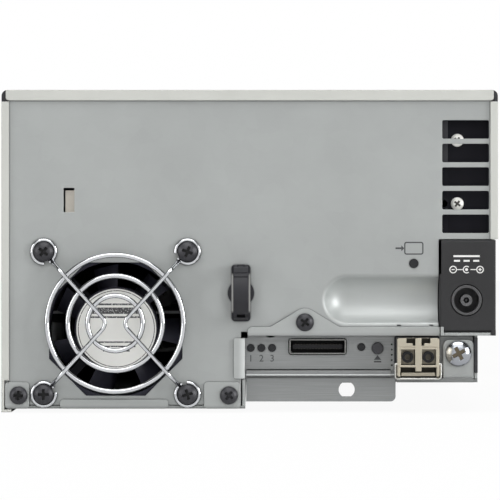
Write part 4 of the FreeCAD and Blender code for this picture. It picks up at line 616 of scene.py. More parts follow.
@dataclass(frozen=True)
class Cavities(Finish):
    """Cast metal with painted shade in its sockets and darker painted shade in the slots behind them.

    The fields add the depths of the face, of the sockets' floor, of the slots' floor and of the end of
    the head, the share of the colour that is left at each floor and in the sleeves, the sockets' pitch,
    the radius of the sleeves' bore, the heights between which the sockets lie, and the middle and the
    half width and height of the head, outside which the metal stays bright.
    """

    face: float = -190.8
    socket: float = -188.8
    slot: float = -187.0
    end: float = -183.9
    socket_share: float = 0.55
    slot_share: float = 0.05
    bore_share: float = 0.2
    pitch: float = 7.1
    bore: float = 1.1
    sockets: tuple[float, float] = (16.5, 21.7)
    head: tuple[float, float] = (57.4, 18.9)
    half: tuple[float, float] = (7.05, 6.46)

    WALL_BLUR = 0.05
    SOCKET_BLUR = 0.1
    END_RISE = 0.2
    BORE_SOFT = 0.7

    def marks(self, graph: Graph) -> list[Mark]:
        """Painted shade by depth in the sockets, the slots and the sleeves' bores.

        Args:
            graph: Tree of the material.

        Returns:
            Their masks and colours.
        """
        x, z = self.head
        low, high = self.sockets
        across, depth, up = graph.axes((x, 0.0, z))
        walls = across.within(self.half[0], self.WALL_BLUR) * up.within(self.half[1], self.WALL_BLUR)
        inside = walls * (1.0 - depth.ramp(self.end, self.end + self.END_RISE))
        # Painted shade: the sockets darken with depth.
        socket_shade = depth.ramp(self.face, self.socket) * inside
        # Painted shade: near black in the slots and the bores behind the face.
        dark = depth.ramp(self.socket, self.slot) * inside
        level = up + (z - (low + high) / 2)
        outside = 1.0 - level.within((high - low) / 2, self.SOCKET_BLUR)
        aside = abs(across) - self.pitch / 2
        area = self.bore ** 2
        bored = 1.0 - (aside * aside + level * level).ramp(self.BORE_SOFT * area, area)
        return [(socket_shade, self.toned(self.socket_share)), (dark * outside, self.toned(self.slot_share)),
                (dark * bored, self.toned(self.bore_share))]


@dataclass(frozen=True)
class HemmedPlate(Finish):
    """Dark plate whose hem stands forward and is painted lighter along its upper part, a painted light.

    The fields add the hem's colour, the depth at which it ends, the height above which it is painted
    lighter, and the widths over which both pass into the plate.
    """

    hem: Colour = (0.05, 0.05, 0.055)
    depth_end: float = -179.6
    level: float = 85.5
    rise: tuple[float, float] = (0.1, 0.3)

    def marks(self, graph: Graph) -> list[Mark]:
        """The hem's painted light."""
        _, depth, up = graph.axes((0.0, self.depth_end, self.level))
        # Painted light on the hem's upper part.
        return [((0.0 - depth).ramp(0.0, self.rise[0]) * up.ramp(0.0, self.rise[1]), self.hem)]


@dataclass(frozen=True)
class LitRails(Finish):
    """Moulding whose two side rails are worn light.

    The fields add the rails' painted light colour, the middle and the half width over the rails, the width
    of a rail, the middle and the half of the painted length, and the blur across and along a rail.
    """

    rail_light: Colour = (0.3, 0.3, 0.29)
    across: float = -3.0
    half: float = 3.2
    band: float = 0.55
    level: float = 40.8
    length: float = 6.4
    blur: tuple[float, float] = (0.15, 1.0)

    def marks(self, graph: Graph) -> list[Mark]:
        """The rails' painted light.

        Args:
            graph: Tree of the material.

        Returns:
            Their mask and colour.
        """
        across, _, up = graph.axes((self.across, 0.0, self.level))
        rail = (abs(across) - (self.half - self.band / 2)).within(self.band / 2, self.blur[0])
        # Painted light: light bands along the two rails.
        return [(rail * up.within(self.length, self.blur[1]), self.rail_light)]


@dataclass(frozen=True)
class CrossHead(Finish):
    """Screws whose cross recesses are painted darker, a painted shade.

    The fields add the recess's painted shade colour, its arms' length and width, and each head's middle and
    its cross's turn in degrees, clockwise from the rear.
    """

    recess: Colour = (0.01, 0.01, 0.01)
    span: float = 3.0
    arm: float = 1.0
    heads: tuple[tuple[float, float, float], ...] = ()

    BLUR = 0.1

    def bar(self, along: Term, aside: Term) -> Term:
        """Mask of one bar of a cross."""
        return along.within(self.span / 2, self.BLUR) * aside.within(self.arm / 2, self.BLUR)

    def marks(self, graph: Graph) -> list[Mark]:
        """The recesses' painted shade.

        Args:
            graph: Tree of the material.

        Returns:
            Their masks and colour.
        """
        marks: list[Mark] = []
        for x, z, turn in self.heads:
            across, _, up = graph.axes((x, 0.0, z))
            cosine, sine = math.cos(math.radians(turn)), math.sin(math.radians(turn))
            first, second = across * cosine - up * sine, across * sine + up * cosine
            # Painted shade in each cross recess.
            marks.append((self.bar(first, second).most(self.bar(second, first)), self.recess))
        return marks


@dataclass(frozen=True)
class HubPrint(Finish):
    """Paper disc on the fan's hub, printed with a ring and plain bars.

    The fields add the ink, the ring's radius and half thickness, and each bar's height, half length and
    half thickness.
    """

    ink: Colour = (0.05, 0.05, 0.055)
    ring: tuple[float, float] = (13.1, 0.13)
    bars: tuple[tuple[float, float, float], ...] = (
        (8.4, 6.4, 0.3), (6.2, 8.6, 1.1), (4.0, 9.6, 0.3),
        (-4.6, 8.0, 0.25), (-6.1, 6.6, 0.25), (-7.6, 4.6, 0.25))

    BLUR = 0.08
    WEAR_SIZE = 0.5
    WEAR_RISE = (0.25, 0.5)

    def marks(self, graph: Graph) -> list[Mark]:
        """The print.

        Args:
            graph: Tree of the material.

        Returns:
            Its mask, thinned by wear, and its colour.
        """
        across, _, up = graph.axes(middle("fan_label"))
        radius, thick = self.ring
        mark = ((across * across + up * up) ** 0.5 - radius).within(thick, self.BLUR)
        for height, half, thick in self.bars:
            mark = mark.most((up - height).within(thick, self.BLUR) * across.within(half, self.BLUR))
        return [(mark * graph.noise(self.WEAR_SIZE).ramp(*self.WEAR_RISE), self.ink)]


@dataclass(frozen=True)
class PrintedBoard(Finish):
    """Lacquered circuit board with its copper tracks under the lacquer.

    The fields add the tracks' colour and spacing, and the half width and blur of a track as shares.
    """

    track: Colour = (0.06, 0.24, 0.1)
    track_size: float = 4.0
    track_half: float = 0.015
    track_blur: float = 0.01

    def marks(self, graph: Graph) -> list[Mark]:
        """The lighter tracks."""
        level = graph.noise(self.track_size, detail=0.0) - 0.5
        return [(level.within(self.track_half, self.track_blur), self.track)]


@dataclass(frozen=True)
class CutThread(Finish):
    """Steel screw with a cut thread about the y axis of a node.

    The fields add the node whose middle the axis passes through, and the thread's lead and starts.
    """

    node: str = ""
    lead: float = 6.0
    starts: float = 4.0

    def relief(self, graph: Graph) -> Term:
        """Height of the helix.

        Args:
            graph: Tree of the material.

        Returns:
            Values from 0 to 1.
        """
        across, along, up = graph.axes(middle(self.node))
        turn = up.angle_to(across) + along * (2 * math.pi / self.lead)
        return (turn * self.starts).sine() * 0.5 + 0.5


@dataclass(frozen=True)
class Winding(Finish):
    """Enamelled copper wire wound in close turns.

    The field adds the wire's width.
    """

    wire: float = 0.35

    def relief(self, graph: Graph) -> Term:
        """Height of the turns."""
        _, along, _ = graph.axes(middle("fan_stator"))
        return (along * (2 * math.pi / self.wire)).sine() * 0.5 + 0.5


class Slot(Enum):
    """Material slots of the record."""

    COVER_PAINT = "cover_paint"
    PLATED_SHEET = "plated_sheet"
    CHROME_WIRE = "chrome_wire"
    BLACK_SCREW = "black_screw"
    ZINC_SCREW = "zinc_screw"
    NYLON = "nylon"
    FAN_PLASTIC = "fan_plastic"
    HUB_LABEL = "hub_label"
    COPPER_WINDING = "copper_winding"
    INLET_PLASTIC = "inlet_plastic"
    JACK_PLASTIC = "jack_plastic"
    LAMP_LENS = "lamp_lens"
    BUTTON_PLASTIC = "button_plastic"
    CONNECTOR_STEEL = "connector_steel"
    CONNECTOR_BLACK = "connector_black"
    BOARD = "board"
    TRANSCEIVER_METAL = "transceiver_metal"
    FERRULE = "ferrule"
    BAIL_STEEL = "bail_steel"
    BAFFLE_BLACK = "baffle_black"
    MECHANISM_STEEL = "mechanism_steel"
    CAST_METAL = "cast_metal"
    DAMPER_RUBBER = "damper_rubber"
    LENS_GLASS = "lens_glass"
    BEZEL_PLASTIC = "bezel_plastic"


SLOTS = {row["node"]: Slot(row["material_slot"]) for row in FRAME["record"]["subparts"]}
FINISHES: dict[Slot, Finish] = {
    Slot.COVER_PAINT: Finish(
        "grey_cover_paint", shade(186, 187, 182), 0.42, 0.0, 0.35, 0.55, depth=0.012, clouds=0.025,
        coat=0.1, corner_shade=0.4),
    Slot.PLATED_SHEET: RolledSheet(
        "plated_sheet", shade(160, 163, 162), 0.45, 0.42, 0.22, 0.3, ROLLED, 0.003, 0.04, 40.0, 1.35,
        corner_shade=0.6),
    Slot.CHROME_WIRE: DarkFlankWire(
        "bright_chrome", shade(208, 210, 213), 0.06, 1.0, 0.05, 0.2, depth=0.001, clouds=0.03, rim=1.0),
    Slot.BLACK_SCREW: Finish(
        "blackened_steel", shade(48, 48, 52), 0.42, 0.3, 0.12, 0.12, depth=0.006, clouds=0.2, rim=1.8),
    Slot.ZINC_SCREW: Finish(
        "zinc_plate", shade(244, 243, 238), 0.35, 0.25, 0.15, 0.15, depth=0.004, clouds=0.08),
    Slot.NYLON: Finish(
        "dark_nylon", shade(38, 38, 42), 0.5, 0.0, 0.25, 0.25, depth=0.008, rim=1.5, specular=0.3),
    Slot.FAN_PLASTIC: Finish(
        "black_fan_plastic", shade(46, 46, 55), 0.4, 0.0, 0.15, 0.3, depth=0.008, clouds=0.15, rim=1.4,
        specular=0.14),
    Slot.HUB_LABEL: HubPrint(
        "hub_label", shade(240, 240, 236), 0.5, 0.0, 0.05, 0.15, depth=0.004, clouds=0.03),
    Slot.COPPER_WINDING: Winding("copper_winding", shade(176, 98, 52), 0.35, 0.9, depth=0.08),
    Slot.INLET_PLASTIC: Finish(
        "inlet_plastic", shade(48, 48, 49), 0.6, 0.0, 0.2, 0.22, depth=0.014, clouds=0.08, rim=1.35,
        specular=0.2),
    Slot.JACK_PLASTIC: Finish(
        "jack_plastic", shade(74, 74, 75), 0.4, 0.0, 0.15, 0.2, depth=0.006, rim=2.2, specular=0.3),
    Slot.LAMP_LENS: Finish(
        "lamp_lens", shade(36, 37, 39), 0.25, 0.0, 0.12, 0.4, depth=0.004, specular=0.25),
    Slot.BUTTON_PLASTIC: Finish(
        "button_plastic", shade(60, 60, 63), 0.45, 0.0, 0.25, 0.2, depth=0.006, rim=1.6, specular=0.3),
    Slot.CONNECTOR_STEEL: Finish(
        "connector_steel", shade(128, 128, 126), 0.28, 0.95, 0.08, 0.2, depth=0.004, clouds=0.08, rim=2.2),
    Slot.CONNECTOR_BLACK: Finish(
        "connector_black", shade(24, 24, 26), 0.5, 0.0, 0.12, 0.2, depth=0.006, rim=1.8, specular=0.2),
    Slot.BOARD: PrintedBoard("circuit_board", shade(14, 36, 27), 0.35, 0.0, 0.1, coat=0.3),
    Slot.TRANSCEIVER_METAL: Cavities(
        "nickel_cast", shade(190, 183, 166), 0.32, 0.9, 0.2, 0.35, depth=0.008, clouds=0.08),
    Slot.FERRULE: Finish(
        "port_sleeve", shade(26, 26, 31), 0.3, 0.0, 0.12, 0.2, depth=0.004, rim=2.4, specular=0.3),
    Slot.BAIL_STEEL: Finish("bail_steel", shade(196, 196, 192), 0.25, 1.0, 0.1, 0.2, depth=0.003),
    Slot.BAFFLE_BLACK: HemmedPlate(
        "baffle_black", shade(20, 20, 26), 0.6, 0.0, 0.2, 0.4, depth=0.01, clouds=0.12, specular=0.12),
    Slot.MECHANISM_STEEL: RolledSheet("mechanism_steel", shade(150, 152, 154), 0.46, 0.9, depth=0.003),
    Slot.CAST_METAL: Finish(
        "cast_alloy", shade(150, 152, 155), 0.5, 0.85, 0.25, 0.5, depth=0.02, clouds=0.1),
    Slot.DAMPER_RUBBER: Finish(
        "damper_rubber", shade(34, 34, 35), 0.75, 0.0, 0.3, 0.4, depth=0.02, clouds=0.12),
    Slot.LENS_GLASS: Finish("pickup_lens", shade(120, 140, 170), 0.06, 0.0, 0.1, depth=0.001, coat=1.0),
    Slot.BEZEL_PLASTIC: Finish(
        "bezel_plastic", shade(44, 45, 48), 0.46, 0.0, 0.3, 0.3, depth=0.012, clouds=0.08, rim=1.45)}


class Ink(Enum):
    """Finishes of the printed marks and of small details."""

    WHITE = Finish("white_mark", shade(222, 222, 220), 0.6, 0.0, 0.04, 0.15, depth=0.003)
    DARK = Finish("dark_mark", shade(58, 60, 62), 0.6, 0.0, 0.04, 0.15, depth=0.003)
    CONTACT = Finish("tinned_contact", shade(128, 122, 110), 0.35, 0.9, 0.04, 0.15, depth=0.003)
    # Black of the pieces that stand in for shade in gaps and notches: painted shade.
    SHADE_FILL = Finish("shade_black", shade(34, 34, 38), 0.7, 0.0, 0.04, 0.15, depth=0.003)


def variant(kind: type[Finish], node: str, **fields: object) -> Finish:
    """Finish of some kind that takes from the one of a node's slot what the fields leave open."""
    return kind(**{**vars(FINISHES[SLOTS[node]]), "name": f"{node}_finish", **fields})


# Painted shade of a cross recess.
RECESS_SHADE = shade(15, 15, 17)


def crossed(node: str, radius: float, turns: tuple[float, ...], recess: Colour = RECESS_SHADE,
            **plating: object) -> Finish:
    """Finish of like screws on a grid, with cross recesses painted darker as painted shade.

    Args:
        node: The node's name.
        radius: Radius of a head.
        turns: Turn of each cross in degrees, column by column and upwards.
        recess: Colour of the crosses' painted shade.
        plating: What differs from the slot's own finish.

    Returns:
        The finish.
    """
    low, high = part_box(node)
    reach = radius * MM
    # A row that lies on the edge of the rounding counts twice, as that of case_screws does.
    columns, rows = (
        sorted({round(low[axis] + reach, HEAD_DIGITS), round(high[axis] - reach, HEAD_DIGITS)})
        for axis in (0, 2))
    places = [(x / MM, z / MM) for x in columns for z in rows]
    heads = tuple((x, z, turn) for (x, z), turn in zip(places, turns))
    return variant(CrossHead, node, recess=recess, span=RECESS_SPAN * radius, arm=RECESS_ARM * radius,
                   heads=heads, **plating)


class Palette:
    """Makes each shared finish once and lays finishes on nodes."""

    def __init__(self) -> None:
        """Start with no finish made."""
        self.made: dict[Enum, bpy.types.Material] = {}

    def material(self, key: Slot | Ink) -> bpy.types.Material:
        """Material of a slot or an ink.

        Args:
            key: Which one.

        Returns:
            The material, made on first use.
        """
        if key not in self.made:
            finish = FINISHES[key] if isinstance(key, Slot) else key.value
            self.made[key] = finish.make()
        return self.made[key]

    def lay(self, node: str, finish: Finish | None) -> None:
        """Dress a CAD node.

        Args:
            node: The node's name.
            finish: Finish in place of its slot's own.
        """
        mesh = FRAME["nodes"][node].data
        mesh.materials.clear()
        mesh.materials.append(finish.make() if finish else self.material(SLOTS[node]))
        LOG.info("dressed %s", node)


def circle(x: float, z: float, radius: float, count: int = 48, start: float = 0.0,
           sweep: float = 360.0) -> Outline:
    """Points on a circle in x and z.

    Args:
        x: Centre.
        z: Centre.
        radius: Radius.
        count: Number of points.
        start: First angle in degrees from +x.
        sweep: Angle covered in degrees.

    Returns:
        The points, without a doubled last one on a full turn.
    """
    steps = count if abs(sweep) >= 360 else count - 1
    angles = [math.radians(start + sweep * index / steps) for index in range(count)]
    return [(x + radius * math.cos(angle), z + radius * math.sin(angle)) for angle in angles]


def slab(x: float, z: float, width: float, height: float, corner: float = 0.0) -> Outline:
    """Rectangle in x and z with rounded corners.

    Args:
        x: Centre.
        z: Centre.
        width: Size along x.
        height: Size along z.
        corner: Radius of the corners.

    Returns:
        The points, counter-clockwise from the lower right.
    """
    half_x, half_z = width / 2 - corner, height / 2 - corner
    points: Outline = []
    for index, (side, level) in enumerate(((1, -1), (1, 1), (-1, 1), (-1, -1))):
        place = (x + side * half_x, z + level * half_z)
        points += circle(*place, corner, CORNER_POINTS, 90.0 * (index - 1), 90.0) if corner else [place]
    return points


class Blank:
    """Mesh under construction between two levels of y."""

    CAP_SHARE = 0.7
    BEVEL_SEGMENTS = 2

    def __init__(self, near: float, far: float) -> None:
        """Start an empty mesh that reaches from one y to another."""
        self.mesh = bmesh.new()
        self.levels = (near, far)

    def _rings(self, outline: Outline) -> list[list[bmesh.types.BMVert]]:
        """Vertices of an outline at both levels."""
        add = self.mesh.verts.new
        return [[add((x * MM, level * MM, z * MM)) for x, z in outline] for level in self.levels]

    def _wall(self, first: list[bmesh.types.BMVert], second: list[bmesh.types.BMVert]) -> None:
        """Add faces between two closed rings.

        Args:
            first: Vertices of a ring.
            second: As many vertices.
        """
        for index, corner in enumerate(first):
            after = (index + 1) % len(first)
            self.mesh.faces.new((corner, first[after], second[after], second[index]))

    def prism(self, outline: Outline) -> "Blank":
        """Add a solid outline.

        Args:
            outline: Points in x and z.

        Returns:
            This blank.
        """
        first, second = self._rings(outline)
        self.mesh.faces.new(first)
        self.mesh.faces.new(list(reversed(second)))
        self._wall(first, second)
        return self

    def frame(self, outer: Outline, inner: Outline) -> "Blank":
        """Add an outline with a hole.

        Args:
            outer: Outer points in x and z.
            inner: As many inner points.

        Returns:
            This blank.
        """
        outside, inside = self._rings(outer), self._rings(inner)
        rings = [outside[0], *inside, outside[1]]
        for index, ring in enumerate(rings):
            self._wall(ring, rings[(index + 1) % len(rings)])
        return self

    def numeral(self, digit: str, x: float, z: float, height: float) -> None:
        """Add an upright numeral, read from the rear.

        Args:
            digit: The numeral.
            x: Its middle.
            z: Its middle.
            height: Its height.
        """
        near, far = self.levels
        curve = bpy.data.curves.new("numeral", "FONT")
        curve.body = digit
        curve.align_x, curve.align_y = "CENTER", "CENTER"
        curve.size = height * MM / self.CAP_SHARE
        curve.extrude = (far - near) * MM / 2
        holder = bpy.data.objects.new("numeral", curve)
        flat = bpy.data.meshes.new_from_object(holder)
        place = Matrix.Translation((x * MM, (near + far) * MM / 2, z * MM))
        flat.transform(place @ Matrix.Rotation(math.pi / 2, 4, "X"))
        self.mesh.from_mesh(flat)
        bpy.data.objects.remove(holder)
        bpy.data.curves.remove(curve)
        bpy.data.meshes.remove(flat)

    def piece(self, name: str, body: str, material: bpy.types.Material,
              round_by: float = 0.0) -> None:
        """Close the mesh into a piece that rides on a body.

        Args:
            name: The piece's name.
            body: CAD body that carries it.
            material: Its material.
            round_by: Width of its rounded edges.
        """
        bmesh.ops.recalc_face_normals(self.mesh, faces=self.mesh.faces)
        mesh = bpy.data.meshes.new(name)
        self.mesh.to_mesh(mesh)
        self.mesh.free()
        made = bpy.data.objects.new(name, mesh)
        bpy.context.scene.collection.objects.link(made)
        mesh.materials.append(material)
        if round_by:
            bevel = made.modifiers.new("soft_edges", "BEVEL")
            bevel.width = round_by * MM
            bevel.segments = self.BEVEL_SEGMENTS
            bevel.limit_method = "ANGLE"
        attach(made, body)
        LOG.info("made %s", name)


@dataclass
class Assembly:
    """Pieces that are made and dressed together."""

    palette: Palette
    nodes: tuple[str, ...] = ()

    def build(self) -> None:
        """Make the pieces that the solids lack."""

    def finishes(self) -> dict[str, Finish]:
        """Finishes of the nodes that do not take their slot's."""
        return {}

    def dress(self) -> None:
        """Lay each node's finish."""
        special = self.finishes()
        for node in self.nodes:
            self.palette.lay(node, special.get(node))


@dataclass
class Case(Assembly):
    """Painted cover, plated pan and rear panel with their screws. Black pieces of painted shade are made
    here.
    """

    nodes: tuple[str, ...] = (
        "top_cover", "bottom_pan", "rear_panel", "lock_plate", "vent_baffle", "baffle_screws", "case_screws")
    notch_width: float = 1.45
    notch_height: float = 3.9
    bend: float = 2.0
    bend_points: int = 9
    shade_fill_inset: float = 0.06
    shade_fill_depth: float = 0.5
    shade_fill_rise: float = 0.2
    riser_shade_reach: float = 0.4
    riser_shade_depth: float = 1.8
    riser_shade_wall: float = 0.06
    riser_shade_corner: float = 0.3
    riser_gap: float = 0.3
    riser_width: float = 1.0
    riser_low: float = 13.4
    riser_top: float = 25.6
    case_head: float = 3.05
    baffle_head: float = 2.2
    turn: float = 37.0

    def build(self) -> None:
        """Make black pieces of painted shade in the cover's upper corner notches and on the pan's riser."""
        high = extent("top_cover")[1]
        panel = extent("rear_panel")[0].y
        edge, top = high.x - self.shade_fill_inset, high.z - self.shade_fill_inset
        inner, low = edge - self.notch_width, top - self.notch_height
        corner = circle(edge - self.bend, top - self.bend, self.bend, self.bend_points, 0.0, 90.0)
        rounded = [(x, z) for x, z in corner if x > inner]
        outline = [(inner, low), (edge, low), *rounded, (inner, rounded[-1][1] + self.shade_fill_rise)]
        # Painted shade: black pieces fill the cover's corner notches, where there is only shade.
        black = self.palette.material(Ink.SHADE_FILL)
        shade_fills = Blank(panel - self.shade_fill_depth, panel)
        for side in (-1, 1):
            shade_fills.prism([(side * x, z) for x, z in outline])
        shade_fills.piece("cover_corner_shade", "chassis", black)
        # Painted shade: a black strip on the riser's edge, where there is only shade.
        x = extent("bracket_ear")[1].x + self.riser_gap + self.riser_width / 2
        width, height = self.riser_width + 2 * self.riser_shade_wall, self.riser_top - self.riser_low
        riser_shade = Blank(panel - self.riser_shade_reach, panel + self.riser_shade_depth)
        riser_shade.prism(slab(x, (self.riser_low + self.riser_top) / 2, width, height, self.riser_shade_corner))
        riser_shade.piece("riser_edge_shade", "chassis", black)

    def finishes(self) -> dict[str, Finish]:
        """Finishes of the case's own.

        Returns:
            Crosses of painted shade in the screws, painted light in the panel's recess, a warm plate behind
            its slot and painted shade on the pan's foot.
        """
        return {
            "case_screws": crossed("case_screws", self.case_head, (0.0, self.turn)),
            "baffle_screws": crossed(
                "baffle_screws", self.baffle_head, (self.turn, self.turn), shade(70, 68, 62)),
            "rear_panel": variant(PressedPanel, "rear_panel", name="panel_sheet"),
            "lock_plate": RolledSheet("warm_sheet", shade(178, 173, 164), 0.5, 0.4, 0.18, depth=0.003),
            "bottom_pan": variant(FootedSheet, "bottom_pan", name="pan_sheet")}


@dataclass
class FanUnit(Assembly):
    """Axial fan with its wire guard. The ribs around the hub's rim are made here."""

    nodes: tuple[str, ...] = (
        "fan_guard", "fan_guard_screws", "fan_frame", "fan_impeller", "fan_stator", "fan_label",
        "fan_holder")
    ribs: int = 72
    rib_inner: float = 13.85
    rib_outer: float = 14.3
    rib_width: float = 0.5
    rib_height: float = 0.12
    rib_root: float = 0.55
    screw_head: float = 3.4
    turns: tuple[float, ...] = (0.0, 37.0, 74.0, 111.0)

    def build(self) -> None:
        """Make the ribs on the hub's rim."""
        face = extent("fan_label")[1].y
        hub = middle("fan_label").xz
        blank = Blank(face - self.rib_height, face + self.rib_root)
        for index in range(self.ribs):
            angle = 2 * math.pi * index / self.ribs
            along = Vector((math.cos(angle), math.sin(angle)))
            side = Vector((-along.y, along.x)) * self.rib_width / 2
            inner, outer = hub + along * self.rib_inner, hub + along * self.rib_outer
            corners = (inner - side, outer - side, outer + side, inner + side)
            blank.prism([tuple(corner) for corner in corners])
        blank.piece("hub_rim_ribs", "fan_rotor", self.palette.material(Slot.FAN_PLASTIC))

    def finishes(self) -> dict[str, Finish]:
        """Crosses of painted shade in the screws."""
        return {"fan_guard_screws": crossed("fan_guard_screws", self.screw_head, self.turns)}


@dataclass
class PowerInlet(Assembly):
    """Inlet block with its jack. The plain supply symbols are made here."""

    nodes: tuple[str, ...] = ("dc_inlet_housing", "dc_jack")
    mark: float = 0.05
    mark_lift: float = 0.02
    bar_level: float = 53.4
    bar_width: float = 9.0
    dash_level: float = 51.8
    dash_share: float = 0.23
    dash_step: float = 0.365
    line: float = 0.62
    sign_level: float = 48.8
    sign_pitch: float = 4.6
    sign_radius: float = 1.3
    sign_line: float = 0.34
    sign_points: int = 32
    stroke: float = 1.1
    stub: float = 0.36
    dot: float = 0.5
    dot_points: int = 20
    opening: float = 50.0
    link_gap: float = 0.05
    link_line: float = 0.3
    bore: tuple[float, float] = (0.3, 1.2)

    def build(self) -> None:
        """Make the direct current sign and the polarity sign below it."""
        face, x = extent("dc_inlet_housing")[0].y, middle("dc_jack").x
        level, outer, points = self.sign_level, self.sign_radius, self.sign_points
        inner, sweep = outer - self.sign_line, 360.0 - 2 * self.opening
        blank = Blank(face - self.mark_lift, face + self.mark)
        blank.prism(slab(x, self.bar_level, self.bar_width, self.line))
        dash, step = self.dash_share * self.bar_width, self.dash_step * self.bar_width
        for index in (-1, 0, 1):
            blank.prism(slab(x + index * step, self.dash_level, dash, self.line))
        blank.prism(circle(x, level, outer, points, self.opening, sweep)
                    + circle(x, level, inner, points, self.opening + sweep, -sweep))
        blank.prism(circle(x, level, self.dot, self.dot_points))
        start, end = outer + self.link_gap, self.sign_pitch - outer - self.link_gap
        for side in (-1, 1):
            place = x + side * self.sign_pitch
            blank.frame(circle(place, level, outer, points), circle(place, level, inner, points))
            blank.prism(slab(place, level, self.stroke * inner, self.sign_line))
            blank.prism(slab(x + self.sign_pitch, level + side * self.stub, self.sign_line, self.stub))
            blank.prism(slab(x + side * (start + end) / 2, level, end - start, self.link_line))
        blank.piece("inlet_supply_signs", "chassis", self.palette.material(Ink.WHITE))

    def finishes(self) -> dict[str, Finish]:
        """Finishes of the inlet's own.

        Returns:
            A bore in the jack painted paler, a painted light.
        """
        start, full = (extent("dc_jack")[0].y + depth for depth in self.bore)
        return {"dc_jack": variant(
            PaleBore, "dc_jack", name="jack_bore", bore=shade(94, 94, 95), start=start, full=full)}


@dataclass
class CordClamp(Assembly):
    """Nylon clamp that keeps a cord in place."""

    nodes: tuple[str, ...] = ("cord_clamp_base", "cord_clamp_strap")

    def finishes(self) -> dict[str, Finish]:
        """Rails on the base painted light."""
        return {"cord_clamp_base": variant(LitRails, "cord_clamp_base", name="base_nylon")}


@dataclass
class ControlBracket(Assembly):
    """Bracket with lamps, connector and button. The marks and the connector's contacts are made here."""

    nodes: tuple[str, ...] = (
        "control_bracket", "bracket_ear", "ear_screw", "bracket_screw", "status_led_lenses",
        "cartridge_led_lens", "eject_button", "eject_switch", "panel_board", "interface_board",
        "control_connector_shell", "control_connector_insert")
    contacts: int = 16
    contact_width: float = 0.55
    contact_pitch: float = 1.0
    contact_lift: float = 0.06
    contact_span: tuple[float, float] = (0.3, 3.4)
    tongue_half: float = 0.75
    mark: float = 0.04
    mark_lift: float = 0.02
    lamps: tuple[float, ...] = (0.36, 4.0, 7.7)
    caption_level: float = 18.2
    numeral_height: float = 2.3
    eject_level: float = 17.8
    eject_size: tuple[float, float] = (2.5, 1.6)
    eject_bar: tuple[float, float] = (-0.65, 0.5)
    cartridge_size: tuple[float, float] = (6.6, 4.4)
    cartridge_corners: tuple[float, float] = (0.8, 0.4)
    cartridge_lift: float = 5.2
    line: float = 0.42
    arrow_start: float = 0.95
    arrow_shaft: tuple[float, float] = (2.0, 0.588)
    arrow_head: tuple[float, float] = (0.98, 1.0)
    screw_head: float = 3.05
    screw_turn: float = 37.0
    ear_head: float = 4.35
    ear_turn: float = -28.0

    def build(self) -> None:
        """Make the contacts on both faces of the connector's tongue, and the marks."""
        front = extent("control_connector_insert")[0].y
        centre = middle("control_connector_insert")
        blank = Blank(*(front + depth for depth in self.contact_span))
        for index in range(self.contacts):
            x = centre.x + (index - (self.contacts - 1) / 2) * self.contact_pitch
            for side in (-1, 1):
                level = centre.z + side * (self.tongue_half + self.contact_lift / 2)
                blank.prism(slab(x, level, self.contact_width, self.contact_lift))
        tinned = self.palette.material(Ink.CONTACT)
        blank.piece("connector_contacts", "chassis", tinned)
        self.face_marks()
        self.cartridge_mark()

    def face_marks(self) -> None:
        """Make plain numbers under the lamps and the eject sign under the button."""
        face = control_face()
        blank = Blank(face - self.mark_lift, face + self.mark)
        for index, x in enumerate(self.lamps):
            blank.numeral(str(index + 1), x, self.caption_level, self.numeral_height)
        x, base = middle("eject_button").x, self.eject_level
        (width, height), (drop, thick) = self.eject_size, self.eject_bar
        blank.prism([(x - width / 2, base), (x + width / 2, base), (x, base + height)])
        blank.prism(slab(x, base + drop, width, thick))
        blank.piece("face_marks", "chassis", self.palette.material(Ink.DARK))

    def cartridge_mark(self) -> None:
        """Make the sign over the panel's lamp: a cartridge outline and an arrow that points into it."""
        face = extent("rear_panel")[0].y
        centre = middle("cartridge_led_lens")
        x, z = centre.x, centre.z + self.cartridge_lift
        (width, height), (outer, inner) = self.cartridge_size, self.cartridge_corners
        (shaft, thick), (head, half) = self.arrow_shaft, self.arrow_head
        blank = Blank(face - self.mark_lift, face + self.mark)
        blank.frame(slab(x, z, width, height, outer),
                    slab(x, z, width - 2 * self.line, height - 2 * self.line, inner))
        neck = x - self.arrow_start * width + shaft
        blank.prism(slab(neck - shaft / 2, z, shaft, thick))
        blank.prism([(neck, z - half), (neck + head, z), (neck, z + half)])
        blank.piece("cartridge_mark", "chassis", self.palette.material(Ink.DARK))

    def finishes(self) -> dict[str, Finish]:
        """Finishes of the bracket's own.

        Returns:
            The face with brush lines, painted shade and painted highlights, a cross of painted shade in the
            black screw, and bright nickel on the ear's screw.
        """
        return {
            # Painted shade and highlights on the bracket, and painted shade in the screws' crosses.
            "control_bracket": BracketSteel(
                "bracket_steel", shade(167, 170, 169), 0.42, 0.6, 0.22, 0.3, ROLLED, 0.003, 0.04, rim=1.4,
                corner_shade=0.35, shaded_brushed=shade(138, 140, 140)),
            "bracket_screw": crossed("bracket_screw", self.screw_head, (self.screw_turn,)),
            "ear_screw": crossed(
                "ear_screw", self.ear_head, (self.ear_turn,), shade(104, 96, 82),
                colour=shade(168, 171, 177), roughness=0.18, metallic=1.0, edge=0.12, grain=0.2,
                depth=0.001, clouds=0.05)}


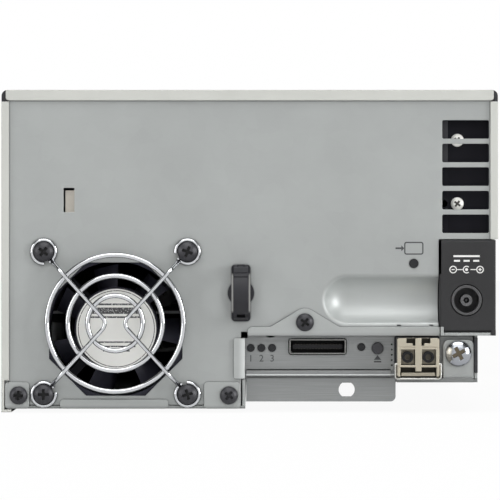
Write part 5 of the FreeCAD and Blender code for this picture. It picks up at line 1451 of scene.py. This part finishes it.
@dataclass
class Transceiver(Assembly):
    """Plug-in fibre transceiver in its cage. The latch's slider and a black frame of painted shade are made
    here.
    """

    nodes: tuple[str, ...] = ("sfp_cage", "sfp_body", "sfp_port_sleeves", "sfp_bail")
    slider_level: float = 13.15
    slider_size: tuple[float, float, float] = (11.6, 1.2, 0.2)
    slider_span: tuple[float, float] = (1.2, 6.1)
    slider_round: float = 0.1
    gap_shade_clearance: float = 0.1
    gap_shade_wall: float = 0.6
    gap_shade_thick: float = 0.5
    gap_shade_corners: tuple[float, float] = (0.9, 0.3)

    def build(self) -> None:
        """Make the slider under the ports, and a black frame of painted shade in the gap around the head."""
        low, high = extent("sfp_body")
        centre = middle("sfp_body")
        metal = Slot.TRANSCEIVER_METAL
        slider = Blank(*(low.y + depth for depth in self.slider_span))
        slider.prism(slab(centre.x, self.slider_level, *self.slider_size))
        slider.piece("latch_slider", "transceiver", self.palette.material(metal), self.slider_round)
        # Painted shade: a black frame fills the gap around the head.
        face = control_face()
        inner = high - low + Vector(EVEN) * 2 * self.gap_shade_clearance
        outer = inner + Vector(EVEN) * 2 * self.gap_shade_wall
        gap_shade = Blank(face - self.gap_shade_thick, face)
        gap_shade.frame(*(slab(centre.x, centre.z, size.x, size.z, corner)
                       for size, corner in zip((outer, inner), self.gap_shade_corners)))
        gap_shade.piece("cage_gap_shade", "chassis", self.palette.material(Ink.SHADE_FILL))


@dataclass
class ScrewDrive(Assembly):
    """Slide that a screw moves.

    The fields add the screw's node, the name of its finish and its lead.
    """

    screw: str = ""
    thread: str = ""
    lead: float = 8.0

    def finishes(self) -> dict[str, Finish]:
        """Finishes of the drive's own.

        Returns:
            A thread on the screw.
        """
        steel = shade(186, 187, 188)
        return {self.screw: CutThread(
            self.thread, steel, 0.3, 1.0, depth=0.3, node=self.screw, lead=self.lead)}


@dataclass
class DiscMechanism(ScrewDrive):
    """Deck with spindle and laser pickup."""

    nodes: tuple[str, ...] = (
        "deck_plate", "deck_dampers", "spindle_motor", "turntable", "pickup_sled", "pickup_lens",
        "guide_rods", "sled_screw", "sled_motor")
    screw: str = "sled_screw"
    thread: str = "sled_thread"


@dataclass
class FrontLoader(ScrewDrive):
    """Front bezel with its flap, the cartridge bay and what pulls the cartridge in."""

    nodes: tuple[str, ...] = (
        "front_bezel", "cartridge_door", "door_pin", "cartridge_holder", "loader_frame", "loader_carriage",
        "loader_screw", "loader_rod", "loader_motor")
    screw: str = "loader_screw"
    thread: str = "loader_thread"


@dataclass
class Electronics(Assembly):
    """Main board with its heat sink."""

    nodes: tuple[str, ...] = ("main_board", "heat_sink")


@dataclass
class Studio:
    """Camera, lamps, floor and white surroundings, in metres.

    A lamp has a name, a power in watts, a place, and a width and height.
    """

    eye: Point = (0.0001, -1.383, 0.0555)
    lens: float = 252.3
    clip_start: float = 0.01
    target: Point = (0.0, 0.0, 0.05)
    lamps: tuple[tuple[str, float, Point, tuple[float, float]], ...] = (
        ("top", 6.0, (0.0, -1.3, 1.15), (1.6, 0.8)),
        ("high", 14.0, (0.0, -0.72, 1.55), (1.6, 0.6)),
        ("left", 10.0, (-1.45, -0.9, 0.45), (0.7, 1.0)),
        ("right", 19.0, (1.45, -0.9, 0.35), (0.7, 0.9)),
        ("behind", 8.0, (0.6, 2.0, 0.9), (2.0, 1.2)))
    glow: float = 0.15
    dim: float = 0.02
    dim_span: tuple[float, float] = (0.3, 0.97)
    floor_white: float = 0.94
    floor_paper: Colour = (0.86, 0.86, 0.86)
    floor_half: float = 5.0
    floor_level: float = -0.0002

    def camera(self) -> None:
        """Set a camera straight on to the rear face."""
        data = bpy.data.cameras.new("camera")
        data.lens = self.lens
        data.clip_start = self.clip_start
        made = bpy.data.objects.new("camera", data)
        made.matrix_world = Matrix.Translation(self.eye) @ Matrix.Rotation(math.pi / 2, 4, "X")
        bpy.context.scene.collection.objects.link(made)
        bpy.context.scene.camera = made

    def lamp(self, name: str, power: float, place: Point, size: tuple[float, float]) -> None:
        """Set a soft box that faces the drive.

        Args:
            name: Its name.
            power: Its power in watts.
            place: Its centre.
            size: Its width and height.
        """
        data = bpy.data.lights.new(name, "AREA")
        data.shape = "RECTANGLE"
        data.size, data.size_y = size
        data.energy = power
        made = bpy.data.objects.new(name, data)
        turn = (Vector(place) - Vector(self.target)).to_track_quat("Z", "Y")
        made.matrix_world = Matrix.Translation(place) @ turn.to_matrix().to_4x4()
        bpy.context.scene.collection.objects.link(made)

    def background(self) -> None:
        """Make the world white to the eye, bright in front and dim behind in reflections, else soft."""
        world = bpy.data.worlds.new("surroundings")
        graph = Graph(world)
        way = graph.node("ShaderNodeTexCoord", output="Generated")
        along = graph.node("ShaderNodeSeparateXYZ", inputs={0: way}, output="Y")
        ahead = (0.0 - along).ramp(*self.dim_span)
        white, dim, soft = (
            graph.node("ShaderNodeBackground", inputs={"Color": EVEN, "Strength": strength})
            for strength in (1.0, self.dim, self.glow))
        mirrored = graph.node("ShaderNodeMixShader", inputs={0: ahead, 1: dim, 2: white})
        glossy = graph.rays("Is Glossy Ray")
        light = graph.node("ShaderNodeMixShader", inputs={0: glossy, 1: soft, 2: mirrored})
        seen = graph.rays("Is Camera Ray", "Is Transmission Ray")
        both = graph.node("ShaderNodeMixShader", inputs={0: seen, 1: light, 2: white})
        graph.node("ShaderNodeOutputWorld", inputs={"Surface": both})
        bpy.context.scene.world = world

    def floor(self) -> None:
        """Lay a pale floor that keeps a faint shadow."""
        blank = bmesh.new()
        bmesh.ops.create_grid(blank, x_segments=1, y_segments=1, size=self.floor_half)
        mesh = bpy.data.meshes.new("floor")
        blank.to_mesh(mesh)
        blank.free()
        made = bpy.data.objects.new("floor", mesh)
        made.location.z = self.floor_level
        bpy.context.scene.collection.objects.link(made)
        graph = Graph(bpy.data.materials.new("pale_floor"))
        seen = graph.rays("Is Camera Ray", "Is Transmission Ray")
        paper = graph.node("ShaderNodeBsdfDiffuse", inputs={"Color": self.floor_paper})
        light = graph.node("ShaderNodeEmission", inputs={"Strength": 1.0})
        both = graph.node("ShaderNodeMixShader", inputs={0: seen * self.floor_white, 1: paper, 2: light})
        graph.node("ShaderNodeOutputMaterial", inputs={"Surface": both})
        mesh.materials.append(graph.owner)

    def build(self) -> None:
        """Set the whole studio up."""
        bpy.context.scene.view_settings.view_transform = "Standard"
        self.camera()
        self.background()
        self.floor()
        for lamp in self.lamps:
            self.lamp(*lamp)


def main() -> None:
    """Build the assemblies in order, then the studio."""
    logging.basicConfig(level=logging.INFO, format="%(name)s: %(message)s")
    palette = Palette()
    for kind in (Case, FanUnit, PowerInlet, CordClamp, ControlBracket, Transceiver, DiscMechanism,
                 FrontLoader, Electronics):
        assembly = kind(palette)
        assembly.build()
        assembly.dress()
    Studio().build()


if __name__ == "__main__":
    main()
